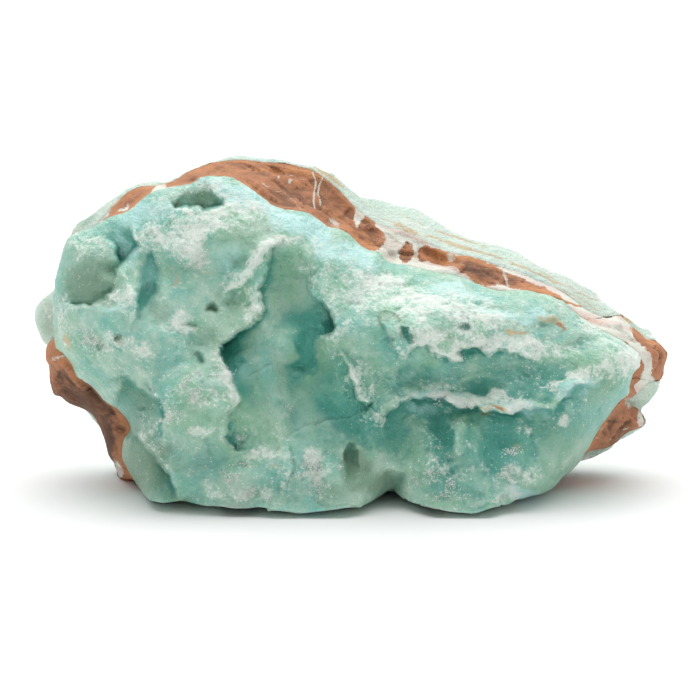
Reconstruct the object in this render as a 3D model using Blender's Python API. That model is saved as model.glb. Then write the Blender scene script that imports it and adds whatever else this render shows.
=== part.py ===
"""A rough block of blue aragonite on brown host rock, resting on its broken base.

A thick, hollowed mass of aragonite covers the front of an upright slab of brown rock, and a thinner
layer of the same aragonite backs it. The three layers are laid out on a face plane, as the block is
seen from a little above the table: (across, up) in millimetres on that plane, and a depth in
millimetres behind it. place() turns such a point into metres, with +Z up and the table at zero.
"""

from math import cos, radians, sin

import bpy
import numpy as np

MM = 0.001

# How the face plane stands: its tilt, the eye's distance, and the point where the sight line meets it
FACE_TILT = radians(11)
EYE_DISTANCE = 600.0
EYE_UP = 31.0
EYE_HEIGHT = 25.1
BLOCK_CENTRE = (-0.02, -2.0)

# The slab of brown rock between the two layers of aragonite: the mean depth of its two faces, and
# the wide bends in each, as across, up, half-width, half-height, turn in degrees, depth, softness
SLAB_FRONT = -5.0
SLAB_BACK = 6.0
SLAB_FRONT_BENDS = (
    (-30, 52, 30, 26, 0, -2.2, 2), (10, 47, 26, 20, -20, 2.2, 2), (46, 33, 22, 18, 0, -2, 2),
    (-50, 22, 22, 20, 0, 1.8, 2), (20, 16, 26, 16, 0, -1.5, 2),
)
SLAB_BACK_BENDS = (
    (-40, 55, 26, 24, 0, -2.4, 2), (-8, 60, 26, 22, 0, 2.4, 2), (26, 45, 24, 20, 0, -2.2, 2),
    (54, 30, 20, 18, 0, 1.6, 2), (-54, 28, 20, 18, 0, 2, 2), (10, 24, 26, 18, 0, 1.5, 2),
)
JOINT_GAP = 0.4
LEAST_EDGE = 0.9
# Folds of the slab's bare rock: direction of the creases in degrees, spacing, height
SLAB_FOLDS = ((-26, 3.4, 0.9), (38, 5.2, 0.8), (-68, 7.5, 0.9))

# The body of each layer, before its relief
FRONT_BULK = 14.0
FRONT_BULK_TOP = 10.0
FOOT_ROUNDING = 5.0
BROW_ROUNDING = 17.0
BACK_BULK = 9.5
BACK_ROUNDING = 11.0
BACK_FOOT_ROUNDING = 4.5
BACK_BEVEL = 1.0
LEAST_THICKNESS = 1.6

# Mesh density: points round each outline, rings from the outline to the middle, and triangles kept
OUTLINE_POINTS = 400
RINGS = 72
FRONT_TRIANGLES = 5600
MATRIX_TRIANGLES = 1800
BACK_TRIANGLES = 1900

FRONT_OUTLINE = (
    (-32.3, 2.3), (-34.8, 2), (-37, 2.2), (-38.6, 3), (-40.8, 6.1), (-42.4, 8.6), (-43.2, 10.4),
    (-43.3, 12.5), (-42.9, 14.4), (-41.8, 16.3), (-43.7, 19.2), (-46.4, 21.5), (-48.8, 23.9),
    (-51.7, 26), (-52.8, 28.3), (-54.3, 30), (-55.7, 31.5), (-56, 34.6), (-56.2, 37.6),
    (-56.3, 40.5), (-56, 43.3), (-55.5, 46.2), (-54.7, 49), (-54, 51.3), (-52.6, 53), (-49, 54.3),
    (-46.4, 55.7), (-44.1, 56.6), (-41.8, 57.5), (-39.4, 59.3), (-37.4, 60.8), (-35.3, 61.6),
    (-33.2, 62.1), (-29.8, 62.6), (-28.7, 63.6), (-26.6, 64), (-22.6, 63.8), (-20.5, 62.7),
    (-18.6, 61.4), (-16.3, 59.7), (-14.1, 58.3), (-10.4, 57.5), (-8.2, 57), (-5.9, 55.5),
    (-4.4, 54.3), (-1.7, 53.8), (0.2, 52.6), (1.7, 51.1), (3.8, 49.8), (5.5, 49.4), (7.2, 47.5),
    (11.4, 46.9), (16.5, 45.6), (20.9, 44.8), (25.5, 42.9), (29.8, 42.2), (34.2, 42.2),
    (39.9, 40.7), (41.8, 39.1), (44.3, 37), (46.6, 35.2), (48.8, 34.2), (51.1, 33.2), (53.5, 31.5),
    (55.2, 29.8), (55.1, 27.7), (54, 26.6), (53.4, 24.5), (52.8, 22.6), (51.1, 21.1), (48.6, 18),
    (46.9, 15.2), (45, 12), (43.1, 9.1), (40.5, 7), (39, 5.3), (37.2, 4.2), (32.5, 2.8),
    (28.5, 1.5), (26.2, 0.8), (23.8, 0), (20.9, 0.1), (17.9, 0.5), (13.7, 1.5), (10.8, 2.5),
    (9.1, 3.6), (8.2, 4.4), (6.3, 3.8), (4.2, 2.5), (2.1, 1.5), (-2.3, 0.8), (-6.1, 0.3), (-9.5, 0),
    (-12.9, 0.4), (-15.2, 0.6), (-16.7, 1.1), (-22.4, 1.1), (-27.7, 1.6),
)
MATRIX_OUTLINE = (
    (-42.2, 6.2), (-44.1, 7), (-44.5, 9.1), (-45.8, 11), (-46.9, 14.8), (-48.2, 17.8),
    (-50.2, 19.6), (-53.4, 20.9), (-54.9, 22.1), (-56.2, 22.6), (-56.9, 24.7), (-57.2, 27.9),
    (-57.8, 29.4), (-57.5, 31.9), (-55.9, 33.8), (-54.7, 37.6), (-54, 42.4), (-53.2, 47.7),
    (-51.3, 51.3), (-47.5, 55.3), (-44.5, 58.7), (-42.4, 60.8), (-39.9, 62), (-37.8, 62),
    (-35.7, 62.4), (-33.4, 63.2), (-30.8, 64.8), (-28.5, 65.8), (-25.5, 66.7), (-20.9, 67.1),
    (-16.7, 66.7), (-12.7, 66.5), (-9.1, 65.7), (-7, 64.9), (-4.8, 63.6), (-2.7, 61.9), (-0.8, 60),
    (1.1, 58), (3.4, 56.2), (5.9, 54.7), (8.6, 54), (10.8, 53.4), (14.2, 51.7), (18, 49.7),
    (22.4, 48.8), (25.5, 47.9), (28.5, 46.8), (31.7, 45.9), (34, 45), (37.2, 43.5), (40.7, 41.8),
    (42.9, 40.1), (45.6, 38.2), (48.6, 37.2), (50.9, 37.6), (52.4, 36.5), (54.3, 34.8),
    (56.4, 33.2), (58.1, 32.7), (59.7, 31.3), (60.3, 30.1), (59.8, 28.1), (59.3, 25.8),
    (58.3, 25.6), (57.4, 27.4), (56, 26.4), (54.7, 24.5), (53, 22.2), (52.6, 21.3), (55.1, 19.4),
    (56, 17.7), (55.4, 16.4), (52.6, 15.3), (50.5, 13.4), (48.3, 12.3), (45.4, 11.7), (42.9, 10.1),
    (39.1, 8.9), (28.5, 9.4), (15.2, 9.8), (0, 10.2), (-17.1, 9.4), (-30.4, 8.6), (-38, 6.8),
)
BACK_OUTLINE = (
    (-43.4, 8), (-45.2, 10.2), (-47.4, 15), (-50.6, 18.6), (-53.6, 22.6), (-55.2, 27.2),
    (-55.9, 31.5), (-57.5, 32.1), (-58.6, 33.2), (-59.7, 36.3), (-59.8, 38.6), (-59.2, 39.7),
    (-58.3, 40.7), (-56.3, 42.4), (-55.7, 45.2), (-54.3, 49.4), (-53.4, 52), (-51.9, 54.9),
    (-49.9, 56), (-47.3, 58.1), (-44.4, 60.1), (-42.4, 61.6), (-39.4, 62.6), (-37.1, 63),
    (-35.3, 62.8), (-33.6, 63.3), (-30.7, 64.8), (-28.4, 65.9), (-25.5, 66.9), (-21.7, 67.9),
    (-17.3, 67.4), (-12.8, 67.2), (-9.9, 66.4), (-7, 66), (-4.7, 64.9), (-3.2, 64.5), (-0.6, 62.1),
    (1.7, 60.2), (2.8, 59.8), (5.9, 59.4), (8.9, 58.5), (12.4, 57.8), (15.8, 55.9), (19, 53.8),
    (22.5, 52.1), (25.5, 51.5), (28, 50.9), (31.2, 50), (34.2, 47.9), (37.2, 46.4), (41.2, 44.9),
    (44.2, 43.2), (46.5, 42), (48, 40.3), (50.9, 38.2), (52.9, 36.9), (55.2, 35.3), (56.7, 34.9),
    (57.6, 33.4), (58.7, 31), (58.3, 27.9), (58.7, 25.6), (58.4, 23.4), (57, 21.3), (55.3, 19.6),
    (56.2, 17.7), (55.1, 15.4), (51.7, 13.1), (48.3, 11.3), (44.2, 10), (41, 9.6),
    (36.1, 8.8), (31.5, 7.4), (25.8, 7.1), (21.3, 7.3), (18.2, 9.2), (9.5, 12.6), (0, 13.4),
    (-10.3, 11.6), (-15.2, 8.2), (-19.8, 7.1), (-25.8, 7.1), (-30.4, 8.2), (-38, 9.4),
)

# Swells and hollows of the front: across, up, half-width, half-height, turn in degrees, height, softness
SWELLS = (
    (-29.4, 20.5, 16.1, 14.2, 0, 6, 2), (-38, 36.7, 16.1, 13.3, 0, 3, 2),
    (-25.6, 52.8, 14.2, 8, -8, 3, 2), (-12.3, 8.2, 18.1, 8.6, 0, 4.5, 2),
    (20.9, 38.6, 28.5, 9.5, 14, 5, 2), (9.5, 34.8, 14.2, 9.5, 0, 3, 2),
    (25.6, 12, 20.9, 11.4, 0, 4.5, 2), (23.2, 4, 10.4, 5.3, 0, 3.5, 2),
    (-0.9, 4.9, 6.8, 4.8, -8, 5.5, 1.4), (-22.4, 6.3, 11.4, 4.9, 0, 2.5, 2),
    (19.9, 14.6, 2.5, 6.5, -12, 1.6, 2), (14.1, 8.2, 4.9, 4.9, 0, 2, 1.6),
    (32.3, 8.2, 7.6, 4.9, -20, 2.2, 1.8), (41.8, 17.7, 11.4, 11.4, 0, 2, 2),
    (-12.3, 13.9, 4.6, 7.6, 10, 1.5, 2), (-11.4, 31.9, 4.2, 5.7, 0, 1.8, 2),
    (-31.4, 24.3, 7.6, 4.6, 10, 1.6, 1.5), (-36.1, 31.9, 6.5, 4.2, -20, 1.3, 1.5),
    (-45.6, 36.7, 5.3, 4.2, 0, 1.4, 1.5), (-25.6, 17.7, 4.9, 4.9, 0, 1.5, 1.5),
)
HOLLOWS = (
    (-11, 40.5, 6.5, 10.6, 6, -5, 1.6), (-9.5, 24.3, 8.4, 11.8, -6, -6, 1.8),
    (-3.8, 15.8, 9.9, 7.6, 0, -4, 2), (-5.7, 36.3, 3.2, 3.2, 0, -5.5, 1),
    (-21.7, 31, 3.8, 4.2, 0, -5, 1), (-18.6, 22.4, 4.2, 6.5, 10, -2.5, 1.5),
    (-20.3, 15.4, 3.4, 3.2, 0, -3.6, 1.1), (-49.8, 45.8, 6.1, 6.8, -12, -5.5, 0.9),
    (-42.9, 50.5, 2.5, 5.3, -14, -6.5, 0.8), (-38.6, 45.2, 1.9, 4.2, 6, -3, 1),
    (-29.1, 59.9, 5.1, 1.9, -2, -8, 0.6), (-38, 40.5, 2.7, 3.8, 0, -2, 1.2),
    (-41.8, 21.9, 3.6, 5.3, -30, -3, 0.9), (-26.6, 38.8, 1.3, 0.9, 0, -3, 0.7),
    (7.2, 35.9, 2.1, 1.9, 0, -2.6, 0.9), (10.4, 34, 2.1, 1.1, 10, -4, 0.7),
    (21.7, 35.1, 1.1, 1.1, 0, -3, 0.7), (0.8, 9.3, 1.1, 2.1, 10, -4, 0.9),
    (18.1, 25.6, 17.1, 4.2, 5, -3.2, 1.6), (39, 26.8, 8.6, 3, -8, -2.6, 1.6),
    (24.7, 23.8, 4.9, 2.5, 0, -1.6, 1.4), (17.3, 14.2, 2.3, 4.6, 0, -3, 1.4),
    (28.5, 12, 4.9, 6.5, 15, -1.8, 1.6), (8.6, 15.8, 5.7, 7.6, 10, -2, 1.8),
    (8.2, 6.7, 4.2, 4.9, 0, -5, 1.5), (40.9, 13.9, 9.5, 7.6, -30, -2, 1.8),
)

# Ledges of the front: height, reach on the raised side, reach below, drop, and the edge's points.
# The raised side is on the right of the way the points run.
LEDGES = (
    (3.0, 11.4, 5.7, 0.8, (
        (36.5, 28.7), (32.3, 29.4), (28.5, 30.8), (26.2, 29.3), (24.3, 32.1), (20.7, 31.9),
        (21.1, 29.3), (16.1, 30.2), (14.4, 32.1), (12, 32.3), (9.5, 29.6), (7.8, 31.5),
        (6.3, 34.8), (5.3, 38.2))),
    (3.4, 4.2, 7.6, 1.2, (
        (50, 26.6), (47.1, 25.3), (42.4, 23.9), (40.1, 21.9), (38.4, 20.1), (32.7, 20.1),
        (30.4, 18.6), (24.9, 19), (23.8, 20.1), (19.6, 20.7), (17.5, 22.2), (12.5, 22.4),
        (10.6, 21.3), (6.7, 18.8), (4.8, 17.5))),
    (1.6, 2.7, 3.8, 0.4, (
        (4.9, 21.5), (3, 21.1), (1.5, 23), (0.4, 26.4), (-1.9, 28.7), (-3.6, 30.6))),
    (2.2, 4.9, 5.7, 0.3, (
        (-50.5, 38.2), (-47.9, 39.7), (-45.4, 41.2), (-44.6, 43.5), (-43.9, 46.5), (-42.2, 49.4),
        (-40.9, 51.9), (-41.2, 54.5), (-40.7, 57.2))),
    (4.2, 4.9, 11.4, 0.8, (
        (-14.4, 51.9), (-16.5, 48.5), (-16.7, 45.2), (-16.5, 42), (-16.7, 39.5), (-18.4, 37),
        (-20.9, 35.1), (-23.2, 33.8), (-24.3, 32.3), (-23.9, 29.8), (-23.2, 27.6), (-21.9, 24.7),
        (-21.1, 21.5), (-21.7, 19.2), (-23.2, 16.9), (-23.9, 14.6), (-22.2, 12.7), (-20.1, 12.2),
        (-17.5, 11.8), (-14.2, 11))),
    (4.4, 6.5, 7.6, 0.8, (
        (-3.8, 28.7), (-4, 31), (-3, 33.4), (-2.7, 36.3), (-3.6, 38.8), (-5.7, 40.7), (-8.4, 42.6))),
    (1.8, 4.6, 4.9, 0.6, (
        (-35.1, 12.7), (-36.5, 16.7), (-38.6, 21.5), (-41.4, 24.9), (-42.4, 26.4), (-48.8, 25.8))),
    (7.0, 4.9, 11.4, 2.5, (
        (-31.9, 1.9), (-33.4, 3.8), (-34, 6.5), (-35.7, 8.7), (-38, 12.3), (-39.7, 14.8),
        (-41.8, 16.3))),
)
LEDGE_FADE = 5.0
LEDGE_STEEPNESS = 0.9

# Swells and hollows of the back layer, whose height is away from the viewer
BACK_SWELLS = (
    (-32, 40, 17, 16, 15, 5, 1.6), (-6, 50, 15, 12, -10, 4, 1.5), (12, 30, 17, 15, 0, 5.5, 1.7),
    (38, 30, 14, 12, -20, 4, 1.6), (-22, 19, 14, 9, 0, 4.5, 1.5), (-46, 30, 8, 11, 0, 2.5, 1.5),
    (26, 16, 12, 7, 10, 3.5, 1.5), (-12, 32, 7, 8, 30, -4.5, 1), (25, 42, 8, 5, -25, -3.5, 1),
    (-39, 52, 6, 5, 0, -3.5, 0.9), (2, 15, 9, 6, 0, -4.5, 1.2), (44, 20, 5, 5, 0, -3.5, 1),
    (-36, 24, 5, 4, 0, -3, 1), (-18, 58, 5, 4, 0, -3, 1), (4, 40, 3.5, 4.5, 20, -3.5, 0.8),
    (-24, 33, 3, 2.2, 0, -3, 0.7), (20, 24, 3, 4, -15, -3, 0.8), (-46, 40, 3, 4, 10, -3, 0.8),
    (50, 29, 3.5, 3, 0, -2.5, 0.8), (-10, 22, 4, 5, 0, 2.5, 1.4), (33, 37, 4, 3, 0, 2, 1.4),
)
BACK_LEDGES = (
    (3, 9, 5, 0.8, (
        (46, 36), (36, 38), (27, 34), (17, 37), (8, 41), (-3, 40), (-8, 45), (-20, 44),
        (-28, 49), (-40, 46), (-50, 44))),
    (2.6, 6, 8, 1.0, (
        (50, 19), (42, 23), (33, 21), (24, 25), (14, 22), (6, 25), (1, 30), (-7, 27),
        (-15, 29), (-22, 26), (-31, 29), (-41, 24), (-49, 27))),
)


def smoothstep(low, high, value):
    """0 below low, 1 above high, and an even S between them."""
    share = np.clip((value - low) / (high - low), 0, 1)
    return share * share * (3 - 2 * share)


def table_depth(up):
    """Depth at which the sight line at this height on the face plane meets the table."""
    rise = (up - EYE_UP) * cos(FACE_TILT)
    return (EYE_HEIGHT + rise) / (sin(FACE_TILT) - rise / EYE_DISTANCE)


def place(face_points, depth):
    """World positions in metres of points on the face plane at these depths."""
    spread = 1 + depth / EYE_DISTANCE
    rise = (face_points[:, 1] - EYE_UP) * spread
    x = face_points[:, 0] * spread - BLOCK_CENTRE[0]
    y = rise * sin(FACE_TILT) + depth * cos(FACE_TILT) - BLOCK_CENTRE[1]
    z = EYE_HEIGHT + rise * cos(FACE_TILT) - depth * sin(FACE_TILT)
    return np.column_stack([x, y, z]) * MM


def smooth_outline(corners, count):
    """count points spaced evenly along a closed Catmull-Rom curve through the corners."""
    corners = np.array(corners, float)
    before, after, beyond = (np.roll(corners, shift, axis=0) for shift in (1, -1, -2))
    steps = np.linspace(0, 1, 8, endpoint=False)
    curve = np.stack([
        corners + 0.5 * t * (after - before)
        + t * t * (before - 2.5 * corners + 2 * after - 0.5 * beyond)
        + t ** 3 * (1.5 * corners - 0.5 * before - 1.5 * after + 0.5 * beyond)
        for t in steps
    ], axis=1).reshape(-1, 2)
    loop = np.vstack([curve, curve[:1]])
    length = np.concatenate([[0], np.cumsum(np.hypot(*np.diff(loop, axis=0).T))])
    wanted = np.linspace(0, length[-1], count, endpoint=False)
    return np.column_stack([np.interp(wanted, length, loop[:, axis]) for axis in (0, 1)])


def nearest(points, path, closed=False):
    """For each point: its distance to the path, +1 on the path's right or -1 on its left,
    the length of path before the nearest place, and the height of that place."""
    path = np.array(path, float)
    starts = path if closed else path[:-1]
    ends = np.roll(path, -1, axis=0) if closed else path[1:]
    best = np.full(len(points), np.inf)
    lean, side, along, height = np.zeros((4, len(points)))
    travelled = 0.0
    for start, end in zip(starts, ends):
        step = end - start
        length = np.hypot(*step)
        offset = points - start
        share = np.clip(offset @ step / length ** 2, 0, 1)
        away = np.hypot(*(offset - share[:, None] * step).T)
        cross = (step[1] * offset[:, 0] - step[0] * offset[:, 1]) / length
        closer = (away < best - 1e-7) | ((away < best + 1e-7) & (abs(cross) > lean))
        best[closer] = away[closer]
        lean[closer] = abs(cross)[closer]
        side[closer] = np.sign(cross)[closer]
        along[closer] = travelled + share[closer] * length
        height[closer] = start[1] + share[closer] * step[1]
        travelled += length
    return best, side, np.minimum(along, travelled - along), height


def outside_distance(points, outline):
    """Distance beyond a closed outline that runs clockwise, and 0 inside it."""
    distance, side, _, _ = nearest(points, outline, closed=True)
    return np.where(side < 0, distance, 0)


def swell(points, shape):
    """Height of one swell, or of a hollow where the shape's height is below zero."""
    across, up, half_width, half_height, turn, height, softness = shape
    offset = points - (across, up)
    c, s = cos(radians(turn)), sin(radians(turn))
    along = (offset[:, 0] * c + offset[:, 1] * s) / half_width
    over = (offset[:, 1] * c - offset[:, 0] * s) / half_height
    return height * np.clip(1 - along ** 2 - over ** 2, 0, 1) ** softness


def ledge(points, shape):
    """Height of an overhanging edge: high on its raised side, and dropping away below it."""
    height, reach, reach_below, drop, path = shape
    distance, side, from_end, _ = nearest(points, path)
    level = distance * side
    raised = smoothstep(-LEDGE_STEEPNESS, LEDGE_STEEPNESS, level)
    above = height * np.exp(-np.clip(level, 0, None) / reach)
    below = drop * np.exp(-np.clip(-level, 0, None) / reach_below)
    return smoothstep(0, LEDGE_FADE, from_end) * (raised * above - (1 - raised) * below)


def joint_depth(points, mean, bends):
    """Depth of one face of the slab."""
    return mean + sum(swell(points, bend) for bend in bends)


def folded(points):
    """Creased relief of broken rock: straight folds in a few directions."""
    relief = 0
    for turn, spacing, height in SLAB_FOLDS:
        along = points[:, 1] * cos(radians(turn)) - points[:, 0] * sin(radians(turn))
        relief = relief + height * abs(2 * np.mod(along / spacing, 1) - 1)
    return relief


def front_sheets(points, rim_distance, rim_up):
    """Front and back depth of the blue mass in front of the slab."""
    up = points[:, 1]
    rounding = FOOT_ROUNDING + (BROW_ROUNDING - FOOT_ROUNDING) * smoothstep(2, 48, up)
    fullness = np.sqrt(1 - (1 - np.clip(rim_distance / rounding, 0, 1)) ** 2)
    bulk = FRONT_BULK + (FRONT_BULK_TOP - FRONT_BULK) * smoothstep(25, 60, up)
    relief = sum(swell(points, shape) for shape in SWELLS + HOLLOWS)
    relief = relief + sum(ledge(points, shape) for shape in LEDGES)
    joint = joint_depth(points, SLAB_FRONT, SLAB_FRONT_BENDS)
    back = np.minimum(joint, table_depth(up))
    rim = np.minimum(joint, table_depth(rim_up))
    front = rim * (1 - fullness) + (SLAB_FRONT - bulk - relief) * fullness
    thickness = LEAST_EDGE + (LEAST_THICKNESS - LEAST_EDGE) * fullness
    return np.minimum(front, back - thickness), back


def matrix_sheets(points, rim_distance, rim_up):
    """Front and back depth of the brown slab: flat behind the blue mass, and broken away beyond it."""
    beyond = outside_distance(points, smooth_outline(FRONT_OUTLINE, OUTLINE_POINTS))
    share = beyond / np.maximum(beyond + rim_distance, 0.01)
    bend = 2.4 - 1.3 * smoothstep(35, 50, points[:, 1])
    joint = joint_depth(points, SLAB_FRONT, SLAB_FRONT_BENDS) + JOINT_GAP
    far = joint_depth(points, SLAB_BACK, SLAB_BACK_BENDS)
    back = np.minimum(far, table_depth(points[:, 1]))
    bare = smoothstep(0, 2, beyond) * smoothstep(0, 2, rim_distance)
    front = joint + (far - LEAST_EDGE - joint) * share ** bend + folded(points) * bare
    return np.minimum(front, back - LEAST_EDGE), back


def back_sheets(points, rim_distance, rim_up):
    """Front and back depth of the aragonite behind the slab."""
    beyond = outside_distance(points, smooth_outline(MATRIX_OUTLINE, OUTLINE_POINTS))
    joint = joint_depth(points, SLAB_BACK, SLAB_BACK_BENDS)
    front = joint + JOINT_GAP + BACK_BEVEL * beyond
    rounding = BACK_FOOT_ROUNDING
    rounding = rounding + (BACK_ROUNDING - rounding) * smoothstep(8, 26, points[:, 1])
    fullness = np.sqrt(1 - (1 - np.clip(rim_distance / rounding, 0, 1)) ** 2)
    relief = sum(swell(points, shape) for shape in BACK_SWELLS)
    relief = relief + sum(ledge(points, shape) for shape in BACK_LEDGES)
    back = joint + fullness * (BACK_BULK + relief)
    back = np.maximum(back, front + LEAST_EDGE)
    back = np.minimum(back, table_depth(points[:, 1]))
    return np.minimum(front, back - LEAST_EDGE / 2), back


def layer_mesh(name, outline, middle, sheets):
    """A closed mesh between a front and a back sheet, lofted in rings from the outline inwards."""
    rim = smooth_outline(outline, OUTLINE_POINTS)
    inward = (np.arange(RINGS) / RINGS) ** 1.5
    rings = rim[None] + (np.array(middle, float) - rim[None]) * inward[:, None, None]
    points = np.vstack([rings.reshape(-1, 2), [middle]])
    rim_distance, _, _, rim_up = nearest(points, rim, closed=True)
    front, back = sheets(points, rim_distance, rim_up)
    vertices = np.vstack([place(points, front), place(points, back)])

    sheet_size = len(points)
    centre = sheet_size - 1
    here = np.arange(OUTLINE_POINTS)
    after = np.roll(here, -1)
    faces = []
    for ring in range(RINGS - 1):
        outer, inner = ring * OUTLINE_POINTS, (ring + 1) * OUTLINE_POINTS
        quads = np.column_stack([inner + here, inner + after, outer + after, outer + here])
        faces += quads.tolist() + (quads[:, ::-1] + sheet_size).tolist()
    last = (RINGS - 1) * OUTLINE_POINTS
    fan = np.column_stack([last + after, last + here, np.full(OUTLINE_POINTS, centre)])
    faces += fan.tolist() + (fan[:, ::-1] + sheet_size).tolist()
    wall = np.column_stack([here, after, after + sheet_size, here + sheet_size])
    faces += wall.tolist()

    mesh = bpy.data.meshes.new(name)
    mesh.from_pydata(vertices.tolist(), [], faces)
    mesh.shade_smooth()
    return mesh


def stone_material(name, colour, roughness):
    """A plain finish for one kind of stone."""
    material = bpy.data.materials.new(name)
    material.use_nodes = True
    shader = material.node_tree.nodes["Principled BSDF"]
    shader.inputs["Base Color"].default_value = (*colour, 1)
    shader.inputs["Roughness"].default_value = roughness
    shader.inputs["Metallic"].default_value = 0
    return material


def add_layer(name, outline, middle, sheets, material, triangles):
    """One layer of the block as an object, thinned to about this many triangles."""
    mesh = layer_mesh(name, outline, middle, sheets)
    mesh.materials.append(material)
    layer = bpy.data.objects.new(name, mesh)
    bpy.context.scene.collection.objects.link(layer)
    thin = layer.modifiers.new("Thin", "DECIMATE")
    thin.ratio = triangles / (2 * len(mesh.polygons))
    return layer


def main():
    """Clear the scene and build the block."""
    for item in list(bpy.data.objects):
        bpy.data.objects.remove(item)
    blue = stone_material("blue_aragonite", (0.33, 0.56, 0.47), 0.45)
    pale = stone_material("pale_aragonite", (0.60, 0.70, 0.60), 0.5)
    brown = stone_material("brown_rock", (0.33, 0.17, 0.10), 0.8)
    add_layer("blue_aragonite", FRONT_OUTLINE, (-2, 30), front_sheets, blue, FRONT_TRIANGLES)
    add_layer("brown_matrix", MATRIX_OUTLINE, (0, 33), matrix_sheets, brown, MATRIX_TRIANGLES)
    add_layer("back_aragonite", BACK_OUTLINE, (0, 33), back_sheets, pale, BACK_TRIANGLES)


main()
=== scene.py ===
"""The looks of a rough block of blue aragonite on brown host rock.

The block has three layers, one behind the other: a thick hollowed mass of blue-green aragonite, an
upright slab of brown rock, and more aragonite behind it. Each layer is built again on its own
outline, with a far finer surface than its solid has, and is dressed by marks that lie on its
vertices. Sizes are millimetres on a face plane, as the block is seen from a little above the table:
(across, up) on that plane and a depth behind it. FacePlane.place() turns them into positions in
the frame, and MM turns millimetres into its metres.
"""

import logging
from collections.abc import Iterable, Sequence
from dataclasses import dataclass, field
from enum import Enum
from itertools import product
from math import atan, cos, pi, radians, sin
from typing import Any

import bpy
import numpy as np
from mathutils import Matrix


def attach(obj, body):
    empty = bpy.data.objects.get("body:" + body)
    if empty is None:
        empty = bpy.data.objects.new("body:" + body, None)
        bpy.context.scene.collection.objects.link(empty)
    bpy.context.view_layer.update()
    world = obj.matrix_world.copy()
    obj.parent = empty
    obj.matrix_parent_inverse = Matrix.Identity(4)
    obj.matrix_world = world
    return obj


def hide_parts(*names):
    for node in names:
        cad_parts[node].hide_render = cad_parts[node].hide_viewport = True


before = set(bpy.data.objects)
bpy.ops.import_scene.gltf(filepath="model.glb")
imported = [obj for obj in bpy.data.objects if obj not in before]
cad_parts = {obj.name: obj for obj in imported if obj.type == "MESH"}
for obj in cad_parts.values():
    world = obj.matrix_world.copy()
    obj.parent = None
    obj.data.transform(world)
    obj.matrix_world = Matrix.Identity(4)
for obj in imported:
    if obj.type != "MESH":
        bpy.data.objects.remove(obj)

Grid = np.ndarray
Colour = tuple[float, float, float]
Row = tuple[float, ...]

MM = 0.001
LOG = logging.getLogger("aragonite")

# Distances along a line that count as equal, and how an open line's nearest pieces blend
SAME_DISTANCE = 1e-7
BLEND_LEAST = 1e-4
BLEND_POWER = 3

# Depths of the slab's two faces behind the face plane, before they bend
SLAB_FRONT = -5.0
SLAB_BACK = 6.0

# Outlines of the three layers on the face plane, clockwise: across, up
FRONT_CORNERS = (
    (-32.3, 2.3), (-34.8, 2), (-37, 2.2), (-38.6, 3), (-40.8, 6.1), (-42.4, 8.6), (-43.2, 10.4),
    (-43.3, 12.5), (-42.9, 14.4), (-41.8, 16.3), (-43.7, 19.2), (-46.4, 21.5), (-48.8, 23.9),
    (-51.7, 26), (-52.8, 28.3), (-54.3, 30), (-55.7, 31.5), (-56, 34.6), (-56.2, 37.6),
    (-56.3, 40.5), (-56, 43.3), (-55.5, 46.2), (-54.7, 49), (-54, 51.3), (-52.6, 53), (-49, 54.3),
    (-46.4, 55.7), (-44.1, 56.6), (-41.8, 57.5), (-39.4, 59.3), (-37.4, 60.8), (-35.3, 61.6),
    (-33.2, 62.1), (-29.8, 62.6), (-28.7, 63.6), (-26.6, 64), (-22.6, 63.8), (-20.5, 62.7),
    (-18.6, 61.4), (-16.3, 59.7), (-14.1, 58.3), (-10.4, 57.5), (-8.2, 57), (-5.9, 55.5),
    (-4.4, 54.3), (-1.7, 53.8), (0.2, 52.6), (1.7, 51.1), (3.8, 49.8), (5.5, 49.4), (7.2, 47.5),
    (11.4, 46.9), (16.5, 45.6), (20.9, 44.8), (25.5, 42.9), (29.8, 42.2), (34.2, 42.2),
    (39.9, 40.7), (41.8, 39.1), (44.3, 37), (46.6, 35.2), (48.8, 34.2), (51.1, 33.2), (53.5, 31.5),
    (55.2, 29.8), (55.1, 27.7), (54, 26.6), (53.4, 24.5), (52.8, 22.6), (51.1, 21.1), (48.6, 18),
    (46.9, 15.2), (45, 12), (43.1, 9.1), (40.5, 7), (39, 5.3), (37.2, 4.2), (32.5, 2.8),
    (28.5, 1.5), (26.2, 0.8), (23.8, 0), (20.9, 0.1), (17.9, 0.5), (13.7, 1.5), (10.8, 2.5),
    (9.1, 3.6), (8.2, 4.4), (6.3, 3.8), (4.2, 2.5), (2.1, 1.5), (-2.3, 0.8), (-6.1, 0.3), (-9.5, 0),
    (-12.9, 0.4), (-15.2, 0.6), (-16.7, 1.1), (-22.4, 1.1), (-27.7, 1.6),
)
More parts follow.
